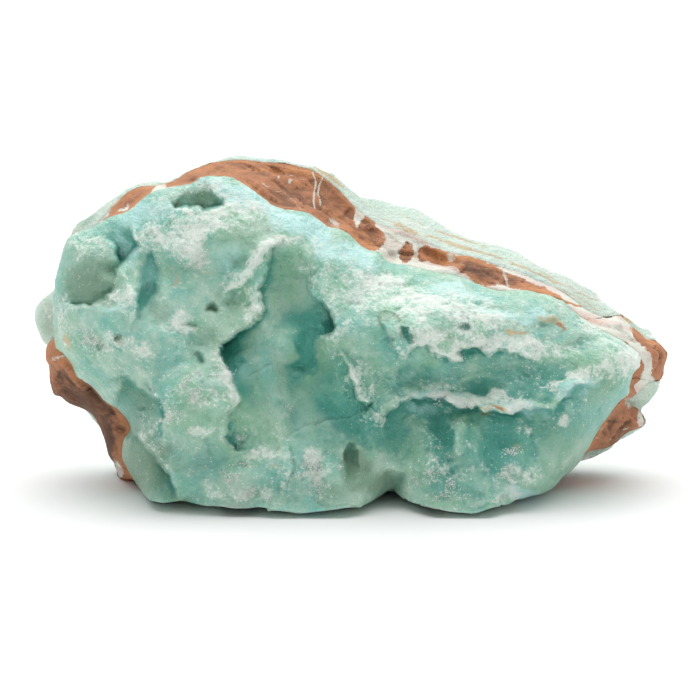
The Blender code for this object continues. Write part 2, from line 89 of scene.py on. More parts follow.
SLAB_CORNERS = (
    (-42.2, 6.2), (-44.1, 7), (-44.5, 9.1), (-45.8, 11), (-46.9, 14.8), (-48.2, 17.8),
    (-50.2, 19.6), (-53.4, 20.9), (-54.9, 22.1), (-56.2, 22.6), (-56.9, 24.7), (-57.2, 27.9),
    (-57.8, 29.4), (-57.5, 31.9), (-55.9, 33.8), (-54.7, 37.6), (-54, 42.4), (-53.2, 47.7),
    (-51.3, 51.3), (-47.5, 55.3), (-44.5, 58.7), (-42.4, 60.8), (-39.9, 62), (-37.8, 62),
    (-35.7, 62.4), (-33.4, 63.2), (-30.8, 64.8), (-28.5, 65.8), (-25.5, 66.7), (-20.9, 67.1),
    (-16.7, 66.7), (-12.7, 66.5), (-9.1, 65.7), (-7, 64.9), (-4.8, 63.6), (-2.7, 61.9), (-0.8, 60),
    (1.1, 58), (3.4, 56.2), (5.9, 54.7), (8.6, 54), (10.8, 53.4), (14.2, 51.7), (18, 49.7),
    (22.4, 48.8), (25.5, 47.9), (28.5, 46.8), (31.7, 45.9), (34, 45), (37.2, 43.5), (40.7, 41.8),
    (42.9, 40.1), (45.6, 38.2), (48.6, 37.2), (50.9, 37.6), (52.4, 36.5), (54.3, 34.8),
    (56.4, 33.2), (58.1, 32.7), (59.7, 31.3), (60.3, 30.1), (59.8, 28.1), (59.3, 25.8),
    (58.3, 25), (57.2, 25.2), (56, 24.2), (54.7, 23), (53.4, 21.8), (52.6, 21.3), (55.1, 19.4),
    (56, 17.7), (55.4, 16.4), (52.6, 15.3), (50.5, 13.4), (48.3, 12.3), (45.4, 11.7), (42.9, 10.1),
    (39.1, 8.9), (28.5, 9.4), (15.2, 9.8), (0, 10.2), (-17.1, 9.4), (-30.4, 8.6), (-38, 6.8),
)
BACK_CORNERS = (
    (-43.4, 8), (-45, 10.2), (-46.6, 15), (-49.2, 18.4), (-53.2, 22.2), (-55.2, 27.2),
    (-55.9, 31.5), (-57.5, 32.1), (-58.6, 33.2), (-59.7, 36.3), (-59.8, 38.6), (-59.2, 39.7),
    (-58.3, 40.7), (-56.3, 42.4), (-55.7, 45.2), (-54.3, 49.4), (-53.4, 52), (-51.9, 54.9),
    (-49.9, 56), (-47.3, 58.1), (-44.4, 60.1), (-42.4, 61.6), (-39.4, 62.6), (-37.1, 63),
    (-35.3, 62.8), (-33.6, 63.3), (-30.7, 64.8), (-28.4, 65.9), (-25.5, 66.9), (-21.7, 67.9),
    (-17.3, 67.4), (-12.8, 67.2), (-9.9, 66.4), (-7, 66), (-4.7, 64.9), (-3.2, 64.5), (-0.6, 62.1),
    (1.7, 60.2), (2.8, 59.8), (5.9, 59.4), (8.9, 58.5), (12.4, 57.8), (15.8, 55.9), (19, 53.8),
    (22.5, 52.1), (25.5, 51.5), (28, 50.9), (31.2, 50), (34.2, 47.9), (37.2, 46.4), (41.2, 44.9),
    (44.2, 43.2), (46.5, 42), (48, 40.3), (50.9, 38.2), (52.9, 36.9), (55.2, 35.3), (56.7, 34.9),
    (57.6, 33.4), (58.7, 31), (58.3, 27.9), (58.7, 25.6), (58.4, 23.4), (57, 21.3), (55.3, 19.6),
    (56.2, 17.7), (55, 16), (51.9, 14.3), (48.3, 11.6), (44.2, 10), (41, 9.6),
    (36.1, 8.8), (31.5, 7.4), (25.8, 7.1), (21.3, 7.3), (18.2, 9.2), (9.5, 12.6), (0, 13.4),
    (-10.3, 11.6), (-15.2, 8.2), (-19.8, 7.1), (-25.8, 7.1), (-30.4, 8.2), (-38, 9.4),
)

# Swells and hollows: across, up, half-width, half-height, turn in degrees, height, softness
SLAB_FRONT_BENDS = (
    (-30, 52, 30, 26, 0, -2.2, 2), (10, 47, 26, 20, -20, 2.2, 2), (46, 33, 22, 18, 0, -2, 2),
    (-50, 22, 22, 20, 0, 1.8, 2), (20, 16, 26, 16, 0, -1.5, 2),
)
SLAB_BACK_BENDS = (
    (-40, 55, 26, 24, 0, -2.4, 2), (-8, 60, 26, 22, 0, 2.4, 2), (26, 45, 24, 20, 0, -2.2, 2),
    (54, 30, 20, 18, 0, 1.6, 2), (-54, 28, 20, 18, 0, 2, 2), (10, 24, 26, 18, 0, 1.5, 2),
)
FRONT_SWELLS = (
    (-29.4, 20.5, 16.1, 14.2, 0, 6, 2), (-38, 36.7, 16.1, 13.3, 0, 3, 2),
    (-25.6, 52.8, 14.2, 8, -8, 3, 2), (-12.3, 8.2, 18.1, 8.6, 0, 4.5, 2),
    (20.9, 38.6, 28.5, 9.5, 14, 5, 2), (9.5, 34.8, 14.2, 9.5, 0, 3, 2),
    (25.6, 12, 20.9, 11.4, 0, 4.5, 2), (23.2, 4, 10.4, 5.3, 0, 3.5, 2),
    (-0.9, 4.9, 6.8, 4.8, -8, 5.5, 1.4), (-22.4, 6.3, 11.4, 4.9, 0, 2.5, 2),
    (19.9, 14.6, 2.5, 6.5, -12, 1.6, 2), (14.1, 8.2, 4.9, 4.9, 0, 2, 1.6),
    (32.3, 8.2, 7.6, 4.9, -20, 2.2, 1.8), (41.8, 17.7, 11.4, 11.4, 0, 2, 2),
    (-12.3, 13.9, 4.6, 7.6, 10, 1.5, 2), (-11.4, 31.9, 4.2, 5.7, 0, 1.8, 2),
    (-31.4, 24.3, 7.6, 4.6, 10, 1.6, 1.5), (-36.1, 31.9, 6.5, 4.2, -20, 1.3, 1.5),
    (-45.6, 36.7, 5.3, 4.2, 0, 1.4, 1.5), (-25.6, 17.7, 4.9, 4.9, 0, 1.5, 1.5),
    (-32.3, 50, 5.7, 3, 0, 1.2, 1.5), (-20.9, 54.7, 8.6, 2.7, 12, 1, 1.5),
    (-7.6, 17.7, 3, 4.2, 0, 1, 1.6), (49.4, 31, 5.7, 3.8, 20, 1.2, 2),
    (-48.6, 50, 5.6, 5, 0, 1.8, 1.5),
)
FRONT_HOLLOWS = (
    (-11, 40.5, 6.5, 10.6, 6, -4, 1.6), (-9.5, 24.3, 8.4, 11.8, -6, -5, 1.8),
    (-3.8, 15.8, 9.9, 7.6, 0, -3, 2), (-18.6, 22.4, 4.2, 6.5, 10, -2.5, 1.5),
    (-38, 45.2, 2.8, 6.8, 6, -2.6, 1.4), (-38, 40.5, 2.7, 3.8, 0, -2, 1.2),
    (-36.1, 37.6, 3, 2.3, 20, -1.5, 1.2), (-41.8, 21.9, 3.6, 5.3, -30, -3, 0.9),
    (-26.6, 38.8, 1.5, 1.1, 0, -2.2, 0.8), (-30.4, 35.9, 1.7, 1.1, 0, -1.2, 0.9),
    (-43.5, 33.4, 0.8, 0.6, 0, -1.6, 0.8), (-47.3, 31.9, 0.9, 1.5, 0, -1.2, 1),
    (-28.5, 29.4, 0.9, 1.5, 20, -1.4, 1), (7.2, 36.7, 2, 1.1, -10, -0.9, 0.5),
    (10.5, 33.9, 2, 1.2, -20, -1.8, 0.6), (21.6, 35.3, 1.2, 1, -20, -1.6, 0.7),
    (0.4, 9.8, 1.4, 3.6, 5, -3, 1), (18.1, 25.6, 17.1, 4.2, 5, -1.5, 1.6),
    (39, 26.8, 8.6, 3, -8, -1.2, 1.6), (24.7, 23.8, 4.9, 2.5, 0, -1.6, 1.4),
    (12.3, 26.8, 5.3, 3.4, 0, -1.2, 1.4),
    (28.5, 12, 4.9, 6.5, 15, -1.8, 1.6), (8.6, 15.8, 5.7, 7.6, 10, -2, 1.8),
    (8.2, 4.7, 3.2, 3.4, 0, -3, 1.5), (40.9, 13.9, 9.5, 7.6, -30, -2, 1.8),
    (-22.8, 40.5, 4.6, 3, -20, -1.6, 1.4), (-20.9, 47.7, 3.4, 2.3, -20, -1.2, 1.4),
    (-34.2, 45.2, 3.8, 2.3, -30, -1, 1.4), (-27.6, 32.9, 3.8, 2.7, 0, -1.5, 1.3),
    (-35.1, 13.9, 3.8, 3.4, 0, -1.6, 1.2), (-18.1, 8.2, 3.8, 2.2, -20, -0.7, 1.6),
    (-19, 3.6, 3, 1.3, 0, -1.4, 1.1), (43.7, 31.9, 5.7, 1.9, 10, -1, 1.5),
    (37, 35.7, 3, 1.5, 10, -1.2, 1.2),
)
BACK_SWELLS = (
    (-32, 40, 17, 16, 15, 5, 1.6), (-6, 50, 15, 12, -10, 4, 1.5), (12, 30, 17, 15, 0, 5.5, 1.7),
    (38, 30, 14, 12, -20, 4, 1.6), (-22, 19, 14, 9, 0, 4.5, 1.5), (-46, 30, 8, 11, 0, 2.5, 1.5),
    (26, 16, 12, 7, 10, 3.5, 1.5), (-12, 32, 7, 8, 30, -4.5, 1), (25, 42, 8, 5, -25, -3.5, 1),
    (-39, 52, 6, 5, 0, -3.5, 0.9), (2, 15, 9, 6, 0, -4.5, 1.2), (44, 20, 5, 5, 0, -3.5, 1),
    (-36, 24, 5, 4, 0, -3, 1), (-18, 58, 5, 4, 0, -3, 1), (4, 40, 3.5, 4.5, 20, -3.5, 0.8),
    (-24, 33, 3, 2.2, 0, -3, 0.7), (20, 24, 3, 4, -15, -3, 0.8), (-46, 40, 3, 4, 10, -3, 0.8),
    (50, 29, 3.5, 3, 0, -2.5, 0.8), (-10, 22, 4, 5, 0, 2.5, 1.4), (33, 37, 4, 3, 0, 2, 1.4),
)


class Tint(Enum):
    """Tints that lie over the blue-green of the front mass. Teal and green also stand for painted shade in
    hollows and pits.
    """

    TEAL_AND_SHADE = "teal_and_shade"
    WHITE = "white"
    CYAN = "cyan"
    GREEN = "green"
    OCHRE = "ochre"
    RUST = "rust"
    SUGAR = "sugar"


class SlabTint(Enum):
    """Tints of the bare brown rock and of the pale bands that cross it, with painted shade in its recesses
    and dark cracks.
    """

    VEIN = "vein"
    RUST = "rust"
    DARK = "shade_crack_and_pit"
    PALE = "pale"
    BROWN = "brown"


# Soft patches of each tint: across, up, half-width, half-height, turn in degrees, strength
FRONT_TINTS: dict[Tint, tuple[Row, ...]] = {
    # Teal is the stone's deeper blue-green and also painted shade: many patches sit on pockets and pits,
    # such as at (-7, 35.7), (10.4, 34) and (21.5, 35.3).
    Tint.TEAL_AND_SHADE: (
        (24, 14, 24, 13, -6, 0.45), (28, 26, 16, 5, -4, 0.3),
        (36.5, 25.4, 6, 2.6, 0, 0.2), (42, 20, 7, 6, 0, 0.35), (-25, 12, 9, 4, 0, 0.3),
        (-7, 35.7, 4.6, 3.4, 0, 1), (-9.3, 30.8, 1.7, 4.6, 8, 0.9), (-10.1, 25.8, 1.5, 2.7, 0, 0.6),
        (-22.2, 30.8, 2.5, 4.6, 0, 0.8), (-1.5, 24.5, 4.6, 6.1, 0, 0.5), (-3.5, 19.4, 3, 3, 0, 0.5),
        (-3.8, 29, 4, 5, 0, 0.35), (-9.5, 13.9, 4, 4, 0, 0.3), (46, 19, 5, 5, 0, 0.3),
        (1.1, 18.2, 4.6, 4.9, 0, 0.9), (-42.9, 51.1, 2.1, 5.3, 14, 0.7),
        (3.8, 19.4, 3.6, 3, 0, 0.9), (18.6, 6.6, 5, 4, 0, 0.5), (31, 8.2, 4, 3, 0, 0.6),
        (49, 26.6, 4, 2.2, 30, 0.3), (-9.5, 22.5, 5, 5, 0, 0.25),
        (-38.4, 45.2, 1.9, 5.3, 0, 0.9), (-41, 21.5, 4, 7.4, 35, 0.8),
        (-17.7, 28.7, 5.3, 9.9, 0, 0.2), (-20.9, 14.2, 5.3, 2.3, 0, 0.35),
        (6.5, 26, 7.6, 4.9, 0, 0.35), (33, 24.6, 9, 3.2, 0, 0.55),
        (23.2, 31.4, 5.7, 1.9, 0, 0.6), (44.6, 31.7, 4.6, 1.9, 0, 0.5),
        (13.7, 20.5, 4.6, 2.7, 0, 1), (16.4, 16, 2.8, 6.4, 0, 0.95),
        (29.4, 14.2, 7.2, 6.5, 0, 0.7), (4.5, 15.6, 6.5, 3.4, -10, 0.6),
        (25.8, 3.6, 8.4, 1.7, 0, 0.4), (10.4, 34, 1.9, 1.1, 10, 0.9),
        (21.5, 35.3, 0.9, 0.9, 0, 0.9), (-14.8, 40.5, 4.2, 7.6, 0, 0.15),
        (-27.6, 25.3, 3, 4.2, 0, 0.3), (-23.2, 8.2, 7.6, 2.7, 0, 0.3), (-26.6, 31.9, 1.9, 3, 0, 0.3),
    ),
    Tint.WHITE: (
        (-31, 53.5, 7, 3.6, 10, 0.6), (51.5, 29.6, 5, 3.4, -20, 0.6), (-21, 58, 8, 3, -25, 0.5),
        (-25.6, 26.5, 3.4, 2.6, 0, 0.4), (-40, 30.5, 4.4, 2, -30, 0.4), (-12, 7, 5, 2.4, 0, 0.4),
        (-33.8, 52.4, 5.3, 3.8, 0, 0.55), (-29.8, 49.2, 3.4, 2.7, 0, 0.6),
        (-27.2, 55.7, 8.4, 1.9, 0, 0.45), (-13.1, 51.5, 3.2, 1.1, 0, 0.9),
        (-16.7, 48.5, 1.5, 4.9, -40, 0.7), (-18.6, 40.3, 4.9, 3, 0, 0.45),
        (-32.1, 35.7, 3.4, 2.3, 0, 0.7), (-42.9, 40.9, 2.1, 3.4, 0, 0.6),
        (-47.3, 33.1, 5.3, 3, 0, 0.35), (-32.1, 23.8, 4.6, 1.9, 0, 0.25),
        (-37.4, 16.9, 2.9, 3.2, 0, 0.25), (-29.4, 15.6, 2.5, 1.5, 0, 0.7),
        (-15.6, 11.6, 2.5, 2.3, 0, 0.6), (-7.4, 8.9, 3.8, 2.9, 0, 0.5), (-20.5, 4, 6.1, 1.5, 0, 0.5),
        (-50, 51.5, 4.2, 1.5, 0, 0.7), (-54.1, 35, 1.5, 4.9, 0, 0.6), (-12, 19.6, 2.9, 2.1, 0, 0.6),
        (9.7, 40.3, 12.2, 3.2, -8, 0.7), (21.3, 39.3, 8.4, 2.7, -5, 0.85), (14.1, 34, 4.2, 1.9, 0, 0.6),
        (17.7, 31, 3.4, 1.1, -10, 0.8), (29.4, 31.7, 6.5, 1.9, -12, 0.55),
        (5.1, 43.9, 6.5, 2.7, -10, 0.8), (54, 29.4, 3.4, 3, 0, 0.85), (43.3, 26, 5.7, 1.1, 18, 0.85),
        (24, 21.3, 9.5, 1.6, -5, 0.9), (2.4, 23.8, 2.4, 4, 22, 0.6), (5.4, 17.4, 1.3, 0.7, 0, 0.5),
        (11, 20.6, 2.4, 0.9, 20, 0.5), (25, 33, 12, 3, -12, 0.45), (36, 31, 8, 2.6, -12, 0.45),
        (17.7, 7.6, 5.3, 2.9, 0, 0.45), (32.1, 6.3, 4.6, 1.9, 0, 0.7), (40.1, 17.9, 1.1, 1.3, 0, 0.9),
        (32.5, 16.3, 1.7, 0.8, 0, 0.8), (42.4, 31, 1.7, 1.5, 0, 0.5), (47.5, 34.8, 5.7, 2.3, -20, 0.6),
        (-0.9, 34.8, 1.3, 4.6, -20, 0.5), (-22.4, 21.5, 1.9, 7.6, 0, 0.35),
        (22.8, 46.2, 11.4, 1.3, -14, 0.6), (-30.4, 61.4, 7.6, 1.5, 10, 0.5),
        (28.5, 2.6, 5, 1.4, 0, 0.6), (-42.5, 33, 3, 3, 0, 0.3), (-5.7, 45.2, 5, 3.5, 0, 0.4),
        (-21.9, 44.3, 3.4, 2.4, 0, 0.4), (-34.2, 57.6, 3.4, 1.8, 0, 0.5),
        (17, 25, 7, 1.6, 0, 0.3), (28.5, 36.7, 7, 1.4, -10, 0.4), (-26.6, 21.5, 3, 2.4, 0, 0.4),
    ),
    Tint.CYAN: (
        (-39.3, 57.4, 5.3, 1.7, 15, 0.7), (-38.4, 44.8, 2.1, 4.2, 0, 0.35),
        (-46.5, 38.6, 3.4, 1.1, 0, 0.5), (-19.6, 26.4, 2.9, 4.9, 0, 0.15), (-42.9, 51, 1.6, 4, 14, 0.6),
        (-22.2, 48.8, 4.2, 2.9, 0, 0.4), (2.1, 48.8, 4.9, 2.5, -20, 0.55),
        (19.6, 42.2, 8.4, 1.5, -8, 0.5), (27.6, 38.6, 5.3, 1.1, -8, 0.7),
        (36.1, 37.6, 3.4, 1.5, 0, 0.6), (18.1, 22.6, 7.6, 1.3, -5, 0.6),
        (32.3, 19.9, 5.7, 1.3, 5, 0.7), (42.8, 23.8, 4.9, 1.3, 20, 0.5),
        (31.2, 9.3, 2.9, 1.9, 0, 0.25), (34.2, 3, 6.1, 0.9, 0, 0.6), (13.3, 19.6, 2.9, 1.7, 0, 0.5),
        (-21.3, 59.5, 7.2, 2.1, -20, 1), (-11.4, 55.3, 6.8, 2.1, -22, 1),
        (-2.9, 50.9, 6.5, 2.3, -22, 0.7), (0.9, 43.3, 3, 4.6, 0, 0.3), (-9.5, 13.9, 4.2, 3.8, 0, 0.3),
        (-25.6, 25.3, 5.7, 2.7, 0, 0.25),
    ),
    # Green is the stone's grey-green and also painted shade, on pits and creases such as at (-26.8, 38.6),
    # (7, 36.3) and (1.1, 8.4), and over the cup and the lower left lobe.
    Tint.GREEN: (
        (-49.5, 44.5, 5.5, 6.5, 0, 0.6), (-36.6, 26.4, 3, 2.4, 0, 0.4), (-33.5, 11.6, 4, 2.4, 0, 0.35),
        (-49.6, 43.5, 4.9, 4.9, 0, 0.75), (-39.7, 9.3, 5.3, 7.2, 0, 1), (-29.4, 60.2, 5.3, 2.1, 0, 0.8),
        (-26.8, 38.6, 1.3, 0.9, 0, 0.9), (-47.9, 32.3, 1.9, 2.5, 0, 0.6), (1.1, 8.4, 2.5, 3.8, 0, 0.9),
        (6.5, 5.3, 4.9, 2.5, 0, 0.75), (49, 24.1, 4.2, 3.2, 25, 0.55), (41, 15.2, 6.1, 5.7, 0, 0.35),
        (-29.4, 30, 2.1, 2.9, 0, 0.5), (7, 36.3, 2.5, 1.3, 0, 0.7), (-16.7, 46.2, 2.7, 4.9, 0, 0.3),
        (-3.8, 4.4, 5.7, 3, 0, 0.5), (-41, 21.5, 3.6, 6.6, 35, 0.6), (18.1, 34.8, 11.4, 2.3, -6, 0.3),
    ),
    Tint.OCHRE: (
        (31.5, 34, 2.9, 0.9, -15, 0.8), (38.8, 36.9, 2.9, 1.3, -8, 0.75), (27.2, 19, 2.5, 0.5, -5, 0.9),
        (25.3, 17.7, 1.3, 0.8, 0, 0.6), (32.1, 11.6, 1.7, 1.7, 0, 0.5),
        (-32.1, 43.5, 0.8, 2.5, -30, 0.6), (-27.6, 46.2, 1.7, 0.8, 0, 0.45),
        (-34.4, 54.7, 2.9, 0.8, 0, 0.35), (-14.6, 8.4, 2.1, 1.1, 0, 0.5),
        (-42.9, 32.7, 0.9, 0.6, 0, 0.6), (-54.3, 43.3, 0.6, 5.3, 4, 0.5),
        (-53.8, 31.7, 0.8, 1.7, 0, 0.7), (-33.8, 59.6, 0.5, 0.6, 0, 0.5),
        (-28.9, 58.6, 1, 0.5, 0, 0.4), (-50, 42.2, 2.3, 1.5, 0, 0.35), (-32.1, 2.9, 1.3, 0.6, 0, 0.6),
        (-7.2, 8.2, 3, 1.9, 0, 0.35),
    ),
    Tint.RUST: (
        (39.5, 35.7, 0.9, 0.6, 0, 1), (-28.9, 58.1, 0.5, 0.3, 0, 0.5), (-33.8, 59.3, 0.3, 0.4, 0, 0.6),
        (27.4, 18.8, 1.7, 0.3, -5, 0.6),
    ),
    Tint.SUGAR: (
        (-29.4, 24.3, 4.2, 2.4, 0, 1), (-36.5, 17, 2.6, 3.2, 0, 1), (-5.7, 8.2, 4.6, 3.6, 0, 1),
        (-16, 3.6, 5, 1.8, 0, 0.9), (-21, 8, 3, 2, 0, 0.6), (-12.5, 11.6, 2, 2, 0, 0.6),
        (39, 17.7, 1.3, 1.3, 0, 1), (31.4, 11, 1.8, 2, 0, 0.7), (17, 5, 4.6, 2.8, 0, 0.8),
        (33, 6.4, 4, 2, 0, 0.7), (-24, 28, 2.4, 2, 0, 0.6), (-12, 19.4, 1.6, 1, 0, 0.7),
        (24, 36.4, 6, 1.4, 0, 0.4), (-29, 49, 3, 2.4, 0, 0.5), (-47, 33, 4, 2, 0, 0.4),
        (19, 20.8, 5, 0.8, -5, 0.5),
    ),
}
SLAB_TINTS: dict[SlabTint, tuple[Row, ...]] = {
    SlabTint.VEIN: (
        (-2.4, 55.2, 2, 0.8, -30, 0.6), (1.3, 57.6, 0.7, 2, 10, 0.7), (-55.3, 29.4, 2, 0.35, 0, 0.6),
        (7.4, 50.4, 1.5, 2.6, 10, 0.8), (13, 49.4, 0.4, 1.6, 10, 1), (19.5, 48.4, 0.9, 0.7, 0, 0.7),
        (56.4, 29.4, 1, 0.6, 0, 0.6), (-13.8, 63.8, 0.3, 0.3, 0, 1), (-11.6, 62.7, 0.3, 0.2, 0, 1),
        (47.5, 8.8, 2.4, 0.8, 0, 0.7),
    ),
    SlabTint.RUST: (
        (-17.1, 64.8, 11.4, 0.7, 0, 0.8), (-9.5, 62.3, 6.5, 0.7, -15, 0.6),
        (-22.8, 61.4, 7.6, 0.8, 5, 0.7), (-1.9, 56.6, 4.9, 0.8, -35, 0.7),
        (4.2, 50.9, 3, 0.8, -40, 0.8), (17.5, 48, 2.8, 0.8, -14, 0.7), (52.1, 36.8, 1.7, 0.8, -38, 1),
        (-40.9, 59.5, 3.8, 1.1, 35, 0.4), (37, 42.6, 4.5, 0.5, -17, 0.8), (57.5, 32.5, 1.6, 0.6, -30, 0.6),
        (46.5, 14.5, 0.6, 4, -35, 0.7), (16, 49, 12, 4, -16, 0.45),
    ),
    # Painted shade: near-black in the rock's recesses, such as at (24.3, 46), (31.2, 44.3) and (3.2, 54.8),
    # and over its lower left.
    SlabTint.DARK: (
        (24.3, 46, 5.2, 1.7, -14, 0.85), (31.2, 44.3, 1.7, 1.3, -15, 0.8), (3.2, 54.8, 0.6, 0.5, 0, 1),
        (-45.4, 13, 2.4, 5.8, 0, 1), (-51, 22, 8, 8, -30, 1), (51, 14.6, 5.4, 3.4, -10, 0.7),
        (53.7, 25.4, 0.5, 2.2, 0, 0.9), (58, 31.7, 0.5, 0.5, 0, 0.9),
        (57.6, 28.4, 1.4, 1.2, 0, 0.4), (-18.6, 64.8, 0.5, 0.3, 0, 0.8), (-9.7, 60, 0.4, 0.3, 0, 0.8),
        (10.6, 48.6, 1.2, 0.5, 0, 0.6), (-14, 61, 2.6, 1.6, 0, 0.35),
    ),
    SlabTint.PALE: (
        (-43.6, 8.6, 1.2, 2.2, 0, 0.8), (57, 22, 2.4, 3, 0, 0.8), (53.5, 20.8, 1.6, 1.4, 0, 0.6),
        (55.9, 24.4, 1.2, 2.6, -20, 1), (55.2, 17.8, 0.8, 2, 10, 0.9), (-36.6, 61.6, 1.8, 1.2, 20, 1),
        (-48.4, 55.4, 4, 1, 42, 0.9), (-43, 58.2, 3, 0.5, 30, 0.6), (2.2, 58.4, 1, 1.6, 30, 0.7),
    ),
    SlabTint.BROWN: (
        (3.2, 55.8, 1.2, 1.4, -10, 1), (2.6, 53, 2.2, 2.6, -35, 1), (4.4, 51.8, 2.2, 2, -35, 1),
        (10.6, 49.6, 1.4, 2.2, 8, 1), (14.6, 49, 2.4, 1.5, -14, 1), (17.4, 48.2, 2.6, 1.4, -14, 1),
        (21.4, 47.2, 3.4, 1.6, -14, 1), (25.4, 45.8, 4.6, 2.2, -14, 1), (31, 44.3, 2.8, 1.7, -15, 1),
        (35.4, 43, 3.4, 1.1, -17, 1), (38.6, 41.9, 3, 0.7, -19, 1), (43.5, 39.6, 3.6, 0.3, -28, 0.7),
        (55.2, 33.6, 2.6, 0.7, -45, 1), (59, 30.6, 2.2, 4.4, 10, 1), (54, 25.2, 0.9, 2.8, -15, 1),
        (0, 54, 1.2, 3, 30, 1),
    ),
}
# Thin lines on the brown rock: width, strength, and the points they follow
SLAB_LINES: dict[SlabTint, tuple[tuple[float, float, tuple[Row, ...]], ...]] = {
    SlabTint.VEIN: (
        (0.22, 0.9, ((-7.3, 65), (-6.4, 62.4), (-6.9, 60.4), (-6.2, 58.4))),
        (0.2, 0.8, ((-5.3, 64), (-5.8, 61.5), (-5.2, 58.8))),
        (0.16, 0.6, ((-17, 62), (-12, 60.5), (-9, 57.8))), (0.16, 0.5, ((-13, 64.5), (-8.6, 62.9))),
        (0.16, 0.5, ((-24, 64), (-21.5, 62.2), (-20, 62.4))),
        (0.3, 0.9, ((29, 47), (29.5, 44.9), (29.9, 43.2))),
        (0.2, 0.4, ((46, 16.6), (51, 15.6), (55, 16.2))),
        (0.2, 0.4, ((46, 14.4), (50.5, 13.8), (53.5, 14.4))),
    ),
    SlabTint.PALE: (
        (0.9, 1.0, ((50, 36.2), (52.6, 33.8), (54.4, 31.8), (56, 30), (56.8, 28), (56.4, 26), (55.4, 23.6))),
    ),
    SlabTint.DARK: (
        (0.25, 0.7, ((15.2, 51.2), (22, 49.4), (28, 47.6), (34.2, 46))),
        (0.2, 0.6, ((17, 50.3), (24, 48.4), (31, 46.2), (38, 43.6))),
        (0.25, 0.8, ((-50.6, 28), (-49.8, 24), (-48.4, 20.4), (-47.8, 17))),
        (0.25, 0.7, ((-56, 26.4), (-52.6, 25.6), (-50, 22.8))),
        (0.3, 0.8, ((46, 18.5), (50, 17.4), (55, 18))),
        (0.2, 0.7, ((20, 47.2), (24, 46.6), (28, 45))),
    ),
    SlabTint.RUST: (
        (0.35, 0.9, ((13.3, 52.4), (19, 50.2), (25, 48.4))),
        (0.3, 0.7, ((40.3, 41.4), (44, 39.4), (47.5, 35.8))),
    ),
}
# Raised blocks and recesses of the brown rock, as the swells above
SLAB_SWELLS = (
    (3.2, 55.9, 1.2, 1.5, -10, 0.8, 0.5), (3, 52.4, 2.6, 2.4, -35, 0.9, 0.5),
    (10.6, 49.6, 1.5, 2, 8, 0.8, 0.5), (15.7, 48.5, 3.2, 1.5, -14, 0.7, 0.5),
    (24.3, 46, 5.6, 2, -14, -1.2, 0.7), (31.2, 44.3, 1.8, 1.6, -15, -1, 0.7),
    (36.5, 42.7, 5, 0.8, -17, 0.5, 0.6), (3.3, 54.6, 0.8, 0.6, 0, -0.8, 0.6),
    (-53, 24, 4, 4, 30, 1.2, 0.8), (-47, 16, 2.6, 5, 0, 1, 0.6), (51, 16, 4.5, 2.4, -20, 1.3, 0.6),
    (50, 12.6, 3.4, 1.4, 0, 0.9, 0.6), (59, 29, 1.6, 2.4, 0, 0.8, 0.6),
)
BACK_TINTS: dict[Tint, tuple[Row, ...]] = {
    # The first teal strip, at the far left, is a painted shadow that the front mass casts on the back layer.
    Tint.TEAL_AND_SHADE: ((-55.4, 35.6, 0.7, 4.2, 0, 0.9), (-50, 55, 3, 1, 45, 0.4)),
    Tint.GREEN: ((-57.4, 36, 2.6, 4.6, 0, 0.6), (56, 22.5, 3, 4.5, 0, 0.3), (-44, 9, 3, 4, 0, 0.6)),
    Tint.OCHRE: (
        (9.9, 54.2, 4.5, 0.5, -24, 0.9), (-4.7, 64.5, 4.4, 0.5, -32, 0.8), (52.6, 36.9, 1.6, 0.9, -35, 1),
        (20, 50.6, 6, 0.4, -15, 0.7), (-36, 62.6, 6, 0.4, 8, 0.5), (-52, 53.6, 3, 0.4, 50, 0.5),
    ),
    Tint.RUST: ((51.8, 37.6, 0.5, 0.5, 0, 1),),
}
# Thin streaks in the back layer, as the lines above
BACK_LINES: dict[Tint, tuple[tuple[float, float, tuple[Row, ...]], ...]] = {
    Tint.OCHRE: (
        (0.35, 0.9, ((-8, 65.3), (-4, 63.9), (-1.3, 61.8))), (0.3, 0.6, ((4, 56.6), (8, 55.4), (11, 54))),
        (0.3, 1, ((11, 54), (12.8, 53.2), (14.8, 52.2))),
        (0.25, 0.8, ((14.9, 52.6), (19.2, 51.2), (23, 50.2))),
        (0.28, 0.9, ((17, 51.5), (21, 50.3), (25, 49.4), (29, 48.6))),
        (0.22, 0.8, ((16.4, 53.4), (20.6, 52), (26, 50.4))), (0.28, 0.9, ((30.1, 48), (34, 46.3), (39, 44))),
        (0.22, 0.7, ((36, 46), (42, 43), (47, 40.4))), (0.25, 0.7, ((40, 42.9), (44, 40.7), (47, 38.8))),
        (0.3, 0.7, ((-46, 57.6), (-41, 61), (-36, 62.6))), (0.2, 0.7, ((7, 57.2), (11, 56.2), (14, 54.6))),
    ),
    Tint.WHITE: (
        (0.5, 0.8, ((10, 55.6), (15, 53.9), (22, 51.4))), (0.5, 0.8, ((33, 48), (40, 44.8), (48, 40))),
    ),
}
# Drifts of tint over the back: offset in the noise, width, octaves, noise where the drift starts and
# where it is full, and its strength there
BACK_DRIFTS: dict[Tint, tuple[float, float, int, float, float, float]] = {
    Tint.WHITE: (10, 14, 3, 0.0, 0.6, 0.7),
    Tint.CYAN: (30, 17, 3, 0.1, 0.6, 0.4),
    Tint.GREEN: (50, 13, 3, 0.15, 0.65, 0.5),
    Tint.OCHRE: (70, 9, 4, 0.3, 0.6, 0.5),
    Tint.SUGAR: (140, 6, 3, 0.2, 0.6, 0.5),
}


def smoothstep(low: float, high: float, value: Grid) -> Grid:
    """0 below low, 1 above high, and an even S between them."""
    share = np.clip((value - low) / (high - low), 0, 1)
    return share * share * (3 - 2 * share)


def between(start: Grid | float, end: Grid | float, share: Grid) -> Grid:
    """The start where the share is 0, the end where it is 1, and evenly between them."""
    return start + (end - start) * share


